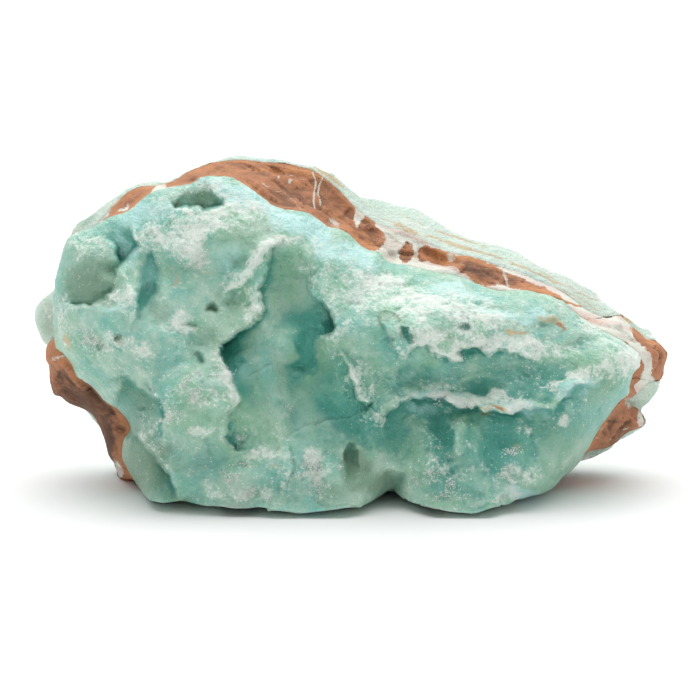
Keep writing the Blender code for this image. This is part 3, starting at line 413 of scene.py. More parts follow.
def patch_shape(points: Grid, row: Row, softness: float) -> Grid:
    """Share of full strength inside one oval patch.

    Args:
        points: Points on the face plane.
        row: The patch: across, up, half-width, half-height, turn in degrees.
        softness: Power of the fall to its edge.

    Returns:
        1 at the patch's middle and 0 from its edge outwards.
    """
    across, up, half_width, half_height, turn = row[:5]
    offset = points - (across, up)
    c, s = cos(radians(turn)), sin(radians(turn))
    along = (offset[:, 0] * c + offset[:, 1] * s) / half_width
    over = (offset[:, 1] * c - offset[:, 0] * s) / half_height
    return np.clip(1 - along**2 - over**2, 0, 1) ** softness


def swell_height(points: Grid, rows: Iterable[Row]) -> Grid:
    """Height of a set of swells and hollows at points on the face plane.

    Args:
        points: Points on the face plane.
        rows: The swells and hollows.

    Returns:
        Their height in all at each point.
    """
    total = np.zeros(len(points))
    for row in rows:
        total += row[5] * patch_shape(points, row, row[6])
    return total


@dataclass(frozen=True)
class Track:
    """Where points lie along a line: distance to it, side of it, distance from its ends, and the
    line's own values at the nearest place.
    """

    distance: Grid
    side: Grid
    from_end: Grid
    values: Grid

    @classmethod
    def along(cls, points: Grid, path: Sequence[Row] | Grid, closed: bool = False) -> "Track":
        """Measure points against a line of straight pieces, whose nearest pieces blend if it is open.

        Args:
            points: Points on the face plane.
            path: Rows of across, up and any values of the line's own.
            closed: True where the last point joins the first.

        Returns:
            The track, whose side is +1 on the line's right and -1 on its left.
        """
        line = np.array(path, float)
        starts = line if closed else line[:-1]
        ends = np.roll(line, -1, axis=0) if closed else line[1:]
        best = np.full(len(points), np.inf)
        lean, side = np.zeros((2, len(points)))
        along = np.zeros((len(points), line.shape[1] - 1))
        total, blended = np.zeros((len(points), 1)), np.zeros_like(along)
        travelled = 0.0
        for start, end in zip(starts, ends):
            step = end - start
            length = float(np.hypot(*step[:2]))
            offset = points - start[:2]
            share = np.clip(offset @ step[:2] / length**2, 0, 1)
            away = np.hypot(offset[:, 0] - share * step[0], offset[:, 1] - share * step[1])
            cross = (step[1] * offset[:, 0] - step[0] * offset[:, 1]) / length
            here = np.column_stack([travelled + share * length, start[2:] + share[:, None] * step[2:]])
            equal = (away < best + SAME_DISTANCE) & (abs(cross) > lean)
            closer = (away < best - SAME_DISTANCE) | equal
            best[closer] = away[closer]
            lean[closer] = abs(cross)[closer]
            side[closer] = np.sign(cross)[closer]
            along[closer] = here[closer]
            if not closed:
                weight = (away[:, None] ** 2 + BLEND_LEAST) ** -BLEND_POWER
                total += weight
                blended += weight * here
            travelled += length
        if not closed:
            best, along = total[:, 0] ** (-0.5 / BLEND_POWER), blended / total
        return cls(best, side, np.minimum(along[:, 0], travelled - along[:, 0]), along[:, 1:])


@dataclass(frozen=True)
class Relief:
    """A sheet's relief: its height outwards, how hollow each place is, and how near a lip."""

    height: Grid
    hollow: Grid
    lip: Grid


@dataclass(frozen=True)
class Ledge:
    """An edge that stands out on the right of the way it runs and drops away on its left.

    Its path is rows of across, up, lift and drop. The reaches say how far the lift and the drop
    carry away from it, frost says how white its lip is, and full_lip is the lift that has the
    whole of that white.
    """

    reach: float
    reach_below: float
    path: tuple[Row, ...]
    steepness: float = 0.35
    fade: float = 2.5
    lip_width: float = 0.8
    frost: float = 1.0
    full_lip: float = 2.5

    def relief(self, points: Grid) -> tuple[Grid, Grid, Grid]:
        """Shape the ledge.

        Args:
            points: Points on the face plane.

        Returns:
            The lift, the drop, and how near the lip is, 0 to 1, at each point.
        """
        track = Track.along(points, self.path)
        level = track.distance * track.side
        lift, drop = track.values.T
        fade = smoothstep(0, self.fade, track.from_end)
        raised = fade * smoothstep(-self.steepness, self.steepness, level)
        above = np.clip(level, 0, None)
        lip = self.frost * raised * np.clip(lift / self.full_lip, 0, 1) * np.exp(-above / self.lip_width)
        lifted = raised * lift * np.exp(-above / self.reach)
        sunk = (fade - raised) * drop * np.exp(-np.clip(-level, 0, None) / self.reach_below)
        return lifted, sunk, lip


FRONT_LEDGES = (
    Ledge(9, 4.5, (
        (36.5, 28.7, 0.8, 0.2), (32.3, 29.4, 2, 0.5), (28.5, 30.8, 2.4, 0.7),
        (26.2, 29.3, 2.6, 1), (24.3, 32.1, 2.8, 1.5), (22.4, 31.5, 2.8, 1.5), (20.7, 31.9, 2.8, 1.5),
        (21.1, 29.3, 2.8, 1), (18.4, 30.4, 2.8, 1.3), (16.1, 30.2, 2.8, 1.3), (14.4, 32.1, 2.8, 1.2),
        (12, 32.3, 2.6, 1), (9.5, 29.6, 2.4, 0.8), (7.8, 31.5, 2.2, 0.8), (6.3, 34.8, 1.6, 0.6),
        (5.3, 38.2, 0.8, 0.5),
    ), lip_width=1.4),
    Ledge(3.5, 6, (
        (50, 26.6, 1, 0.4), (47.1, 25.3, 1.4, 0.8), (44.8, 24.1, 1.8, 1.2), (42.4, 23.9, 2, 1.4),
        (40.1, 21.9, 2.2, 1.6), (38.4, 20.1, 2.4, 1.8), (36.1, 20.5, 2.6, 1.8),
        (32.7, 20.1, 2.6, 2), (30.4, 18.6, 2.8, 2.2), (24.9, 19, 2.8, 2.2),
        (23.8, 20.1, 2.8, 2.6), (19.6, 20.7, 2.8, 3.4), (17.5, 22.2, 2.8, 4.2),
        (15, 21.9, 2.6, 4.2), (12.5, 22.4, 2.4, 4), (10.6, 21.3, 1.8, 3), (6.7, 18.8, 1, 1.6),
        (4.8, 17.5, 0.5, 0.8),
    ), lip_width=1.5),
    Ledge(2.2, 4, (
        (4.9, 18.6, 0.8, 0.8), (4.7, 21, 1.4, 1.8), (3, 21, 1.6, 2), (1.3, 22.4, 1.6, 1.6),
        (0.8, 25.1, 1.4, 1.2), (-0.2, 27.3, 1.2, 1), (-2.3, 29.4, 0.6, 0.5),
    ), frost=0.2),
    Ledge(4.5, 5.5, (
        (-54.6, 39.7, 0.6, 2), (-51.9, 39, 1, 4), (-49, 39, 1.4, 4.6), (-47.3, 40.7, 1.4, 4.6),
        (-45.1, 41.7, 1.4, 4.4), (-45.2, 42.9, 1.2, 3.4), (-44.8, 44.8, 0.5, 1.5),
    )),
    Ledge(4.5, 3.4, (
        (-45.2, 42.9, 0.5, 0.5), (-45.1, 44.1, 1.2, 1.6), (-44.4, 45.8, 1.6, 2.8),
        (-43.2, 47.5, 2, 3.8), (-42, 48.9, 2.2, 3.8), (-40.8, 50.9, 2.2, 3.4), (-40.6, 52, 2, 3),
        (-40.9, 53, 1.6, 3), (-41.2, 54.5, 1, 1.6), (-41.5, 56.2, 0.5, 0.6),
    )),
    Ledge(3, 2.6, (
        (-47.7, 53.4, 0.4, 0.4), (-46.6, 52.6, 0.9, 1.2), (-45.1, 51.4, 1.3, 2),
        (-44.3, 50.2, 1.6, 3), (-44.2, 48.2, 1.8, 3.6), (-44, 47, 1.6, 3), (-44.5, 45.8, 0.8, 1),
    )),
    Ledge(6, 6, (
        (-11.4, 51.9, 0.3, 0.3), (-13.5, 51.3, 0.8, 0.6), (-14.6, 49.9, 1.6, 1.2),
        (-14.9, 47.5, 2, 2), (-16, 45, 2.4, 2.4), (-16.6, 43.1, 2.6, 2.6),
        (-16.9, 40.9, 2.6, 2.2), (-16.4, 39, 2.4, 1.6), (-16.9, 36.8, 2.4, 1.6),
        (-18.8, 35.6, 2.6, 2.6), (-20.5, 34.6, 3, 4), (-22.7, 33.9, 3.2, 5.5),
        (-24.1, 32.9, 3.4, 6.5), (-24.3, 31.2, 3.4, 6), (-23.9, 29.3, 3.4, 4.4),
        (-22.9, 27.4, 3.2, 3), (-22, 25.4, 3, 2.2), (-21.4, 23.5, 2.8, 2),
        (-21.1, 21.1, 2.4, 1.4), (-22.7, 18.8, 2, 1.4), (-23.8, 16, 1.6, 1.4),
        (-24.1, 14.6, 1.4, 1.8), (-23.3, 13.8, 1.4, 2.2), (-21.9, 12.4, 1.2, 2),
        (-20.7, 12, 0.8, 1.2), (-18.5, 12.7, 0.3, 0.3),
    ), frost=0.45),
    Ledge(6, 5, (
        (-7.6, 31.9, 0.4, 0.4), (-6, 32.7, 1.2, 1.2), (-4.3, 33.6, 2.2, 2.4), (-2.8, 34.9, 2.6, 3.4),
        (-2.6, 36.1, 2.8, 4), (-3.1, 37.5, 2.8, 4), (-4, 38.8, 2.6, 3.4), (-5.5, 40.2, 2.2, 2.2),
        (-7.2, 41.6, 1.8, 1.2), (-8.7, 42.8, 0.6, 0.4),
    ), frost=0.5),
    Ledge(4, 5, (
        (-37.8, 13.5, 0.3, 0.2), (-35.2, 15.5, 0.8, 0.7), (-35.5, 17.4, 1.6, 1.6),
        (-35.2, 19.1, 2, 2.2), (-36.3, 21, 2.2, 2.6), (-39.1, 23.3, 2.2, 2.8),
        (-40.8, 24.9, 2, 2.6), (-42.2, 26.6, 1.6, 2), (-45.3, 26, 1, 1.2), (-47.5, 26, 0.5, 0.5),
    ), frost=0.8),
    Ledge(4.9, 11.4, (
        (-31.9, 1.9, 6, 2.5), (-33.4, 3.8, 7, 2.5), (-34, 6.5, 7, 2.5), (-35.7, 8.7, 7, 2.5),
        (-38, 12.3, 7, 2.5), (-39.7, 14.8, 6, 2.5), (-41.8, 16.3, 4, 2.5),
    ), frost=0.1),
    Ledge(3.5, 4, (
        (-14.1, 14.3, 0.5, 0.5), (-11.8, 12.7, 1, 1), (-11.3, 9.9, 1.2, 1.2),
        (-11.6, 7.1, 1, 0.8), (-12.7, 5.3, 0.5, 0.4),
    ), frost=0.3),
    Ledge(3, 4, (
        (-41.5, 43.4, 0.4, 0.8), (-40, 41.2, 1, 1.8), (-40.2, 38.5, 1.2, 2),
        (-40.3, 36.6, 1.2, 1.6), (-39.7, 35.3, 0.5, 0.5),
    )),
    Ledge(3, 3.2, (
        (-35.3, 60, 0.3, 1), (-34.5, 59.4, 0.6, 3), (-33.7, 58.4, 1, 5), (-31.6, 58.1, 1.2, 6),
        (-29.6, 58.1, 1.4, 7.5), (-28.9, 57.7, 1.4, 8), (-27.9, 58, 1.4, 7.5),
        (-25.5, 58, 1.4, 6.5), (-24.4, 58.4, 1.2, 5), (-24, 59.9, 0.8, 3), (-24.5, 61.4, 0.4, 1),
    )),
)


def level_path(lift: float, drop: float, *places: Row) -> tuple[Row, ...]:
    """The path of a ledge whose lift and drop are the same all along it."""
    return tuple((*place, lift, drop) for place in places)


BACK_LEDGES = (
    Ledge(9, 5, level_path(
        3, 0.8, (46, 36), (36, 38), (27, 34), (17, 37), (8, 41), (-3, 40), (-8, 45), (-20, 44),
        (-28, 49), (-40, 46), (-50, 44),
    ), steepness=0.5, fade=6),
    Ledge(6, 8, level_path(
        2.6, 1, (50, 19), (42, 23), (33, 21), (24, 25), (14, 22), (6, 25), (1, 30), (-7, 27),
        (-15, 29), (-22, 26), (-31, 29), (-41, 24), (-49, 27),
    ), steepness=0.5, fade=6),
)

# Crests and, below 0, grooves of the front: height, width, and the points they follow
FRONT_CRESTS = (
    (1.5, 1.5, (
        (-14.1, 51.7), (-16.7, 49.6), (-18.8, 46.7), (-20.9, 44.1), (-23.6, 42), (-25.8, 40.5))),
    (1.0, 1.3, ((-16.7, 40.5), (-18.6, 37.6), (-21.3, 35.7))),
    (1.2, 1.3, ((-3.2, 31), (-1.3, 28.7), (0.4, 26), (1.9, 23))),
    (0.8, 2.7, ((-9.5, 51.9), (-3.8, 49), (0.4, 47.7), (5.7, 45.2))),
    (1.0, 0.9, ((-40.9, 56.8), (-41, 51.9), (-42.2, 49.6))),
    (1.0, 1.3, ((-43.7, 47.7), (-42.6, 44.3), (-41, 41.2), (-40.7, 38.6))),
    (1.5, 1.2, ((-29.3, 62.7), (-28.7, 60.8), (-28.7, 58.9))),
    (-1.6, 2.4, ((-5.3, 35.7), (-8, 33.2), (-9.1, 29.4), (-10.1, 25.8))),
    (-1.6, 2.4, ((16.3, 21.1), (17.1, 16.7), (17.7, 12.9), (19.4, 9.1))),
    (0.8, 3, ((20.1, 19.6), (20.5, 15.8), (21.3, 11))),
)


@dataclass(frozen=True)
class Noise:
    """Repeatable noise in space. An offset added to every place picks a fresh stretch of it."""

    seed: int
    axis_factors: tuple[int, ...] = (73856093, 19349663, 83492791)
    seed_factors: tuple[int, int] = (101, 2654435761)
    mixing: tuple[tuple[int, int], ...] = ((13, 1274126177), (16, 2246822519), (13, 3266489917))
    last_shift: int = 16
    octave_offset: float = 17.3
    chip_salts: tuple[int, int] = (41, 51)
    chip_scatter: float = 0.42

    def _of_cell(self, cell: Grid, salt: int) -> Grid:
        """A number from -1 to 1 for each whole-number cell.

        Args:
            cell: The cells.
            salt: A number of its own for each use.

        Returns:
            The numbers.
        """
        key = cell.astype(np.int64).astype(np.uint32)
        mixed = np.bitwise_xor.reduce(key * np.array(self.axis_factors, np.uint32), axis=1)
        small, large = self.seed_factors
        mixed ^= np.uint32((self.seed * small + salt) * large % 2**32)
        for shift, factor in self.mixing:
            mixed ^= mixed >> np.uint32(shift)
            mixed *= np.uint32(factor)
        mixed ^= mixed >> np.uint32(self.last_shift)
        return mixed / 2**31 - 1

    def wave(self, points: Grid, salt: int) -> Grid:
        """Smooth noise from -1 to 1, one swing a unit.

        Args:
            points: Positions, in swings.
            salt: A number of its own for each use.

        Returns:
            The noise at each point.
        """
        base = np.floor(points)
        share = points - base
        share = share**3 * (share * (share * 6 - 15) + 10)
        total = np.zeros(len(points))
        for step in product((0, 1), repeat=3):
            weight = np.where(np.array(step) == 1, share, 1 - share).prod(axis=1)
            total += weight * self._of_cell(base + step, salt)
        return total

    def cloud(self, points: Grid, size: float, octaves: int, gain: float = 0.5) -> Grid:
        """Layered noise from about -1 to 1.

        Args:
            points: Positions in millimetres.
            size: Width of its widest swings in millimetres.
            octaves: How many layers, each twice as fine as the last.
            gain: Strength of each layer beside the last.

        Returns:
            The noise at each point.
        """
        total = np.zeros(len(points))
        weights = gain ** np.arange(octaves)
        for octave, weight in enumerate(weights):
            offset = self.octave_offset * octave
            total += weight * self.wave(points / size * 2**octave + offset, octave)
        return total / weights.sum()

    def chips(self, points: Grid, size: float) -> tuple[Grid, Grid]:
        """Lumps and flat chips packed side by side.

        Args:
            points: Positions in millimetres.
            size: Width of a chip in millimetres.

        Returns:
            A rounded lump's height, from 1 at its top to 0 in the gaps, and a flat chip's height,
            from about -1 to 1, where each chip slopes its own way.
        """
        spot = points / size
        base = np.floor(spot)
        nearest = np.full(len(points), 9.0)
        slope = np.zeros(len(points))
        for step in product((-1, 0, 1), repeat=3):
            cell = base + step
            jitter, tilt = (
                np.column_stack([self._of_cell(cell, salt + axis) for axis in range(3)])
                for salt in self.chip_salts
            )
            offset = spot - cell - 0.5 - self.chip_scatter * jitter
            away = (offset**2).sum(axis=1)
            closer = away < nearest
            nearest[closer] = away[closer]
            slope[closer] = (offset * tilt).sum(axis=1)[closer]
        return np.clip(1 - nearest, 0, 1), slope


@dataclass(frozen=True)
class FacePlane:
    """How the face plane stands: its tilt, the eye's distance, and where the sight line meets it."""

    tilt: float = radians(11)
    eye_distance: float = 600.0
    eye_up: float = 31.0
    eye_height: float = 25.1
    block_centre: tuple[float, float] = (-0.02, -2.0)

    def table_depth(self, up: Grid) -> Grid:
        """Depth at which the sight line at this height on the face plane meets the table."""
        rise = (up - self.eye_up) * cos(self.tilt)
        return (self.eye_height + rise) / (sin(self.tilt) - rise / self.eye_distance)

    def place(self, points: Grid, depth: Grid) -> Grid:
        """Place points of the face plane in the frame, where +Z is up.

        Args:
            points: Points on the face plane.
            depth: How far each one lies behind it.

        Returns:
            Their x, y and z in the frame, in millimetres.
        """
        spread = 1 + depth / self.eye_distance
        rise = (points[:, 1] - self.eye_up) * spread
        x = points[:, 0] * spread - self.block_centre[0]
        y = rise * sin(self.tilt) + depth * cos(self.tilt) - self.block_centre[1]
        z = self.eye_height + rise * cos(self.tilt) - depth * sin(self.tilt)
        return np.column_stack([x, y, z])

    def eye(self) -> tuple[float, float, float]:
        """Find the eye.

        Returns:
            Where it is, in metres.
        """
        x = -self.block_centre[0]
        y = -self.eye_distance * cos(self.tilt) - self.block_centre[1]
        z = self.eye_height + self.eye_distance * sin(self.tilt)
        return x * MM, y * MM, z * MM


@dataclass(frozen=True)
class Outline:
    """A closed outline on the face plane, clockwise."""

    corners: tuple[Row, ...]
    curve_steps: int = 8
    track_points: int = 300

    def loop(self, count: int) -> Grid:
        """Points spaced evenly along a smooth curve through the corners.

        Args:
            count: How many points.

        Returns:
            The points.
        """
        corners = np.array(self.corners, float)
        before, after, beyond = (np.roll(corners, shift, axis=0) for shift in (1, -1, -2))
        steps = np.linspace(0, 1, self.curve_steps, endpoint=False)
        curve = np.stack([
            corners + 0.5 * t * (after - before)
            + t * t * (before - 2.5 * corners + 2 * after - 0.5 * beyond)
            + t**3 * (1.5 * corners - 0.5 * before - 1.5 * after + 0.5 * beyond)
            for t in steps
        ], axis=1).reshape(-1, 2)
        closed = np.vstack([curve, curve[:1]])
        length = np.concatenate([[0], np.cumsum(np.hypot(*np.diff(closed, axis=0).T))])
        wanted = np.linspace(0, length[-1], count, endpoint=False)
        return np.column_stack([np.interp(wanted, length, closed[:, axis]) for axis in (0, 1)])

    def track(self, points: Grid) -> Track:
        """Where points lie beside the outline, whose own value is its height."""
        loop = self.loop(self.track_points)
        return Track.along(points, np.column_stack([loop, loop[:, 1]]), closed=True)

    def beyond(self, points: Grid) -> Grid:
        """Distance outside the outline, and 0 inside it."""
        track = self.track(points)
        return np.where(track.side < 0, track.distance, 0)


def fullness(rim: Track, rounding: Grid) -> Grid:
    """How full a sheet is: 0 at its outline and 1 past its rounding, along a quarter round."""
    return np.sqrt(1 - (1 - np.clip(rim.distance / rounding, 0, 1)) ** 2)


def put(name: str, data: Any) -> bpy.types.Object:
    """Add an object to the scene, at the origin and unturned.

    Args:
        name: Its name.
        data: Its mesh, light or camera.

    Returns:
        The object.
    """
    made = bpy.data.objects.new(name, data)
    bpy.context.scene.collection.objects.link(made)
    return made


@dataclass(frozen=True)
class RingPlan:
    """How a sheet is divided: its rings, their bunching at the outline, and where they thin out."""

    rings: int
    bunching: float
    halvings: tuple[float, ...]

    def sheet(self, rim: Grid, middle: Row) -> tuple[Grid, list[tuple[int, ...]]]:
        """Divide the area inside an outline.

        Args:
            rim: The outline's points, which become the first ring.
            middle: The point that the rings close in on.

        Returns:
            The sheet's points, and its faces, which turn towards the viewer.
        """
        shares = (np.arange(self.rings) / self.rings) ** self.bunching
        counts = [len(rim) >> sum(share > limit for limit in self.halvings) for share in shares]
        rings = [
            rim[:: len(rim) // count] * (1 - share) + np.array(middle) * share
            for share, count in zip(shares, counts)
        ]
        faces: list[tuple[int, ...]] = []
        outer = 0
        for count, next_count in zip(counts, counts[1:]):
            inner = outer + count
            for i in range(next_count):
                j = (i + 1) % next_count
                if next_count == count:
                    faces.append((inner + i, inner + j, outer + j, outer + i))
                else:
                    last = (2 * i + 2) % count
                    faces.append((inner + i, inner + j, outer + last, outer + 2 * i + 1))
                    faces.append((inner + i, outer + 2 * i + 1, outer + 2 * i))
            outer = inner
        count = counts[-1]
        faces += [(outer + (i + 1) % count, outer + i, outer + count) for i in range(count)]
        return np.vstack([*rings, np.array([middle], float)]), faces


FINE = RingPlan(rings=128, bunching=1.25, halvings=(0.45, 0.75))
EDGE_FINE = RingPlan(rings=90, bunching=2.2, halvings=(0.25, 0.5))
BACK_FINE = RingPlan(rings=100, bunching=1.25, halvings=(0.45, 0.75))
BAND_FINE = RingPlan(rings=36, bunching=2.4, halvings=(0.2, 0.35, 0.5))
HIDDEN = RingPlan(rings=12, bunching=1.8, halvings=(0.02, 0.1, 0.3))


def vertex_normals(mesh: bpy.types.Mesh) -> Grid:
    """Find the surface's normal at each of a mesh's points.

    Args:
        mesh: The mesh.

    Returns:
        The normals.
    """
    normals = np.empty(len(mesh.vertices) * 3)
    mesh.vertex_normals.foreach_get("vector", normals)
    return normals.reshape(-1, 3)


def standing_out(points: Grid, edges: Grid, normals: Grid, rounds: int) -> Grid:
    """How far each point stands out of its surroundings.

    Args:
        points: The mesh's positions.
        edges: Pairs of joined points.
        normals: The surface's normal at each point.
        rounds: How many times the surroundings are evened out.

    Returns:
        The distance along the normal, above 0 on crests and below 0 in pits.
    """
    first, second = edges.T
    count = len(points)
    joined = np.bincount(first, minlength=count) + np.bincount(second, minlength=count)
    even = points.copy()
    for _ in range(rounds):
        total = np.column_stack([
            np.bincount(first, even[second, axis], count)
            + np.bincount(second, even[first, axis], count)
            for axis in range(3)
        ])
        even = 0.5 * even + 0.5 * total / joined[:, None]
    return ((points - even) * normals).sum(axis=1)


@dataclass(frozen=True)
class Crust:
    """A sugary crust of lumps, knobs and grains: the width and the rise of each."""

    lump: tuple[float, float]
    knob: tuple[float, float]
    grain: tuple[float, float]
    lump_gain: float
    sink: float = 0.3

    def height(self, noise: Noise, space: Grid) -> Grid:
        """Height of the crust at places in the block.

        Args:
            noise: The noise that shapes it.
            space: The places, in millimetres.

        Returns:
            The height at each place.
        """
        lumps = self.lump[1] * noise.cloud(space, self.lump[0], 4, self.lump_gain)
        knobs = self.knob[1] * noise.chips(space, self.knob[0])[0]
        grains = self.grain[1] * noise.chips(space + 50, self.grain[0])[0]
        return lumps + knobs + grains - self.sink


@dataclass
class StoneLayer:
    """One layer of the block, closed between a front and a back sheet.

    The wanders say how far the edges of the relief, the tints and the lines stray, in wide and in
    fine swings. No point is set under lowest, and one that stands out by crest_most is marked as
    the sharpest crest.
    """

    plane: FacePlane
    outline: Outline
    middle: tuple[float, float]
    name: str
    node: str
    front_plan: RingPlan
    back_plan: RingPlan
    spokes: int = 960
    noise: Noise = field(default_factory=lambda: Noise(7))
    wide_swing: float = 6.0
    fine_swing: float = 1.6
    relief_wander: tuple[float, float] = (1.0, 0.5)
    tint_wander: tuple[float, float] = (2.2, 0.88)
    line_wander: tuple[float, float] = (0.5, 0.2)
    tint_spread: float = 1.35
    tint_softness: float = 1.2
    lowest: float = 0.02
    crest_rounds: int = 25
    crest_most: float = 0.8
    crest_margin: float = 2.5

    def relief(self, points: Grid) -> Relief:
        """The relief of the sheet that shows, at points on the face plane."""
        raise NotImplementedError

    def sheets(self, points: Grid, rim: Track, relief: Relief) -> tuple[Grid, Grid]:
        """Depth of the front and the back sheet at points inside the outline."""
        raise NotImplementedError

    def crumble(self, points: Grid, space: Grid, relief: Relief) -> Grid:
        """Fine relief, as millimetres outwards, at face points whose places are given too."""
        raise NotImplementedError

    def marks(self, points: Grid, space: Grid, relief: Relief) -> dict[str, Grid]:
        """Named marks for the finish, 0 to 1, at face points whose places are given too."""
        raise NotImplementedError

    def finish(self) -> bpy.types.Material:
        """The layer's material."""
        raise NotImplementedError

    def bent(self, points: Grid, wide: float, fine: float) -> Grid:
        """Face points pushed about a little, so that edges wander as broken stone's do.

        Args:
            points: Points on the face plane.
            wide: How far the wide swings push.
            fine: How far the fine ones do.

        Returns:
            The pushed points.
        """
        flat = np.column_stack([points, np.zeros(len(points))])
        wander = [
            wide * self.noise.cloud(flat + offset, self.wide_swing, 3)
            + fine * self.noise.cloud(flat - offset, self.fine_swing, 2)
            for offset in (31.7, 77.1)
        ]
        return points + np.column_stack(wander)

    def tint_marks(self, points: Grid, tints: dict[Any, tuple[Row, ...]]) -> dict[str, Grid]:
        """Strength of each tint, 0 to 1, with wandering edges.

        Args:
            points: Points on the face plane.
            tints: Patches of each tint.

        Returns:
            One mark for each tint, under the tint's name.
        """
        bent = self.bent(points, *self.tint_wander)
        marks = {}
        for tint, rows in tints.items():
            clear = np.ones(len(points))
            for across, up, half_width, half_height, turn, strength in rows:
                half_width, half_height = half_width * self.tint_spread, half_height * self.tint_spread
                patch = (across, up, half_width, half_height, turn)
                clear *= 1 - strength * patch_shape(bent, patch, self.tint_softness)
            marks[tint.value] = 1 - clear
        return marks

    def draw_lines(
        self, marks: dict[str, Grid], points: Grid, lines: dict[Any, tuple[Any, ...]]
    ) -> None:
        """Draw thin lines into the marks.

        Args:
            marks: The marks, which already hold each line's tint.
            points: Points on the face plane.
            lines: Lines of each tint: width, strength, and the points they follow.
        """
        bent = self.bent(points, *self.line_wander)
        for tint, rows in lines.items():
            for width, strength, path in rows:
                near = np.exp(-((Track.along(bent, path).distance / width) ** 2))
                marks[tint.value] = np.maximum(marks[tint.value], strength * near)

    def build(self) -> bpy.types.Object:
        """Make the layer as a piece of the block.

        Returns:
            The object, with its marks as attributes on its vertices.
        """
        rim = self.outline.loop(self.spokes)
        front, front_faces = self.front_plan.sheet(rim, self.middle)
        back, back_faces = self.back_plan.sheet(rim, self.middle)
        points = np.vstack([front, back])
        track = self.outline.track(points)
        relief = self.relief(points)
        front_depth, back_depth = self.sheets(points, track, relief)
        split = len(front)
        depth = np.concatenate([front_depth[:split], back_depth[split:]])
        space = self.plane.place(points, depth)

        faces = list(front_faces)
        faces += [tuple(split + i for i in reversed(face)) for face in back_faces]
        for i in range(self.spokes):
            j = (i + 1) % self.spokes
            faces.append((i, j, split + j, split + i))
        mesh = bpy.data.meshes.new(self.name)
        mesh.from_pydata((space * MM).tolist(), [], faces)

        space = space + vertex_normals(mesh) * self.crumble(points, space, relief)[:, None]
        space[:, 2] = np.maximum(space[:, 2], self.lowest)
        mesh.vertices.foreach_set("co", (space * MM).ravel())
        mesh.update()
        edges = np.empty(len(mesh.edges) * 2, np.int32)
        mesh.edges.foreach_get("vertices", edges)
        marks = self.marks(points, space, relief)
        crest = standing_out(space, edges.reshape(-1, 2), vertex_normals(mesh), self.crest_rounds)
        crest = np.clip(crest, -self.crest_most, self.crest_most)
        marks["crest"] = crest * smoothstep(0, self.crest_margin, track.distance)
        for name, values in marks.items():
            attribute = mesh.attributes.new(name, "FLOAT", "POINT")
            attribute.data.foreach_set("value", values.astype(np.float32))
        mesh.shade_smooth()

        piece = put(self.name, mesh)
        mesh.materials.append(self.finish())
        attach(piece, "root")
        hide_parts(self.node)
        LOG.info("%s: %d faces", self.name, len(mesh.polygons))
        return piece


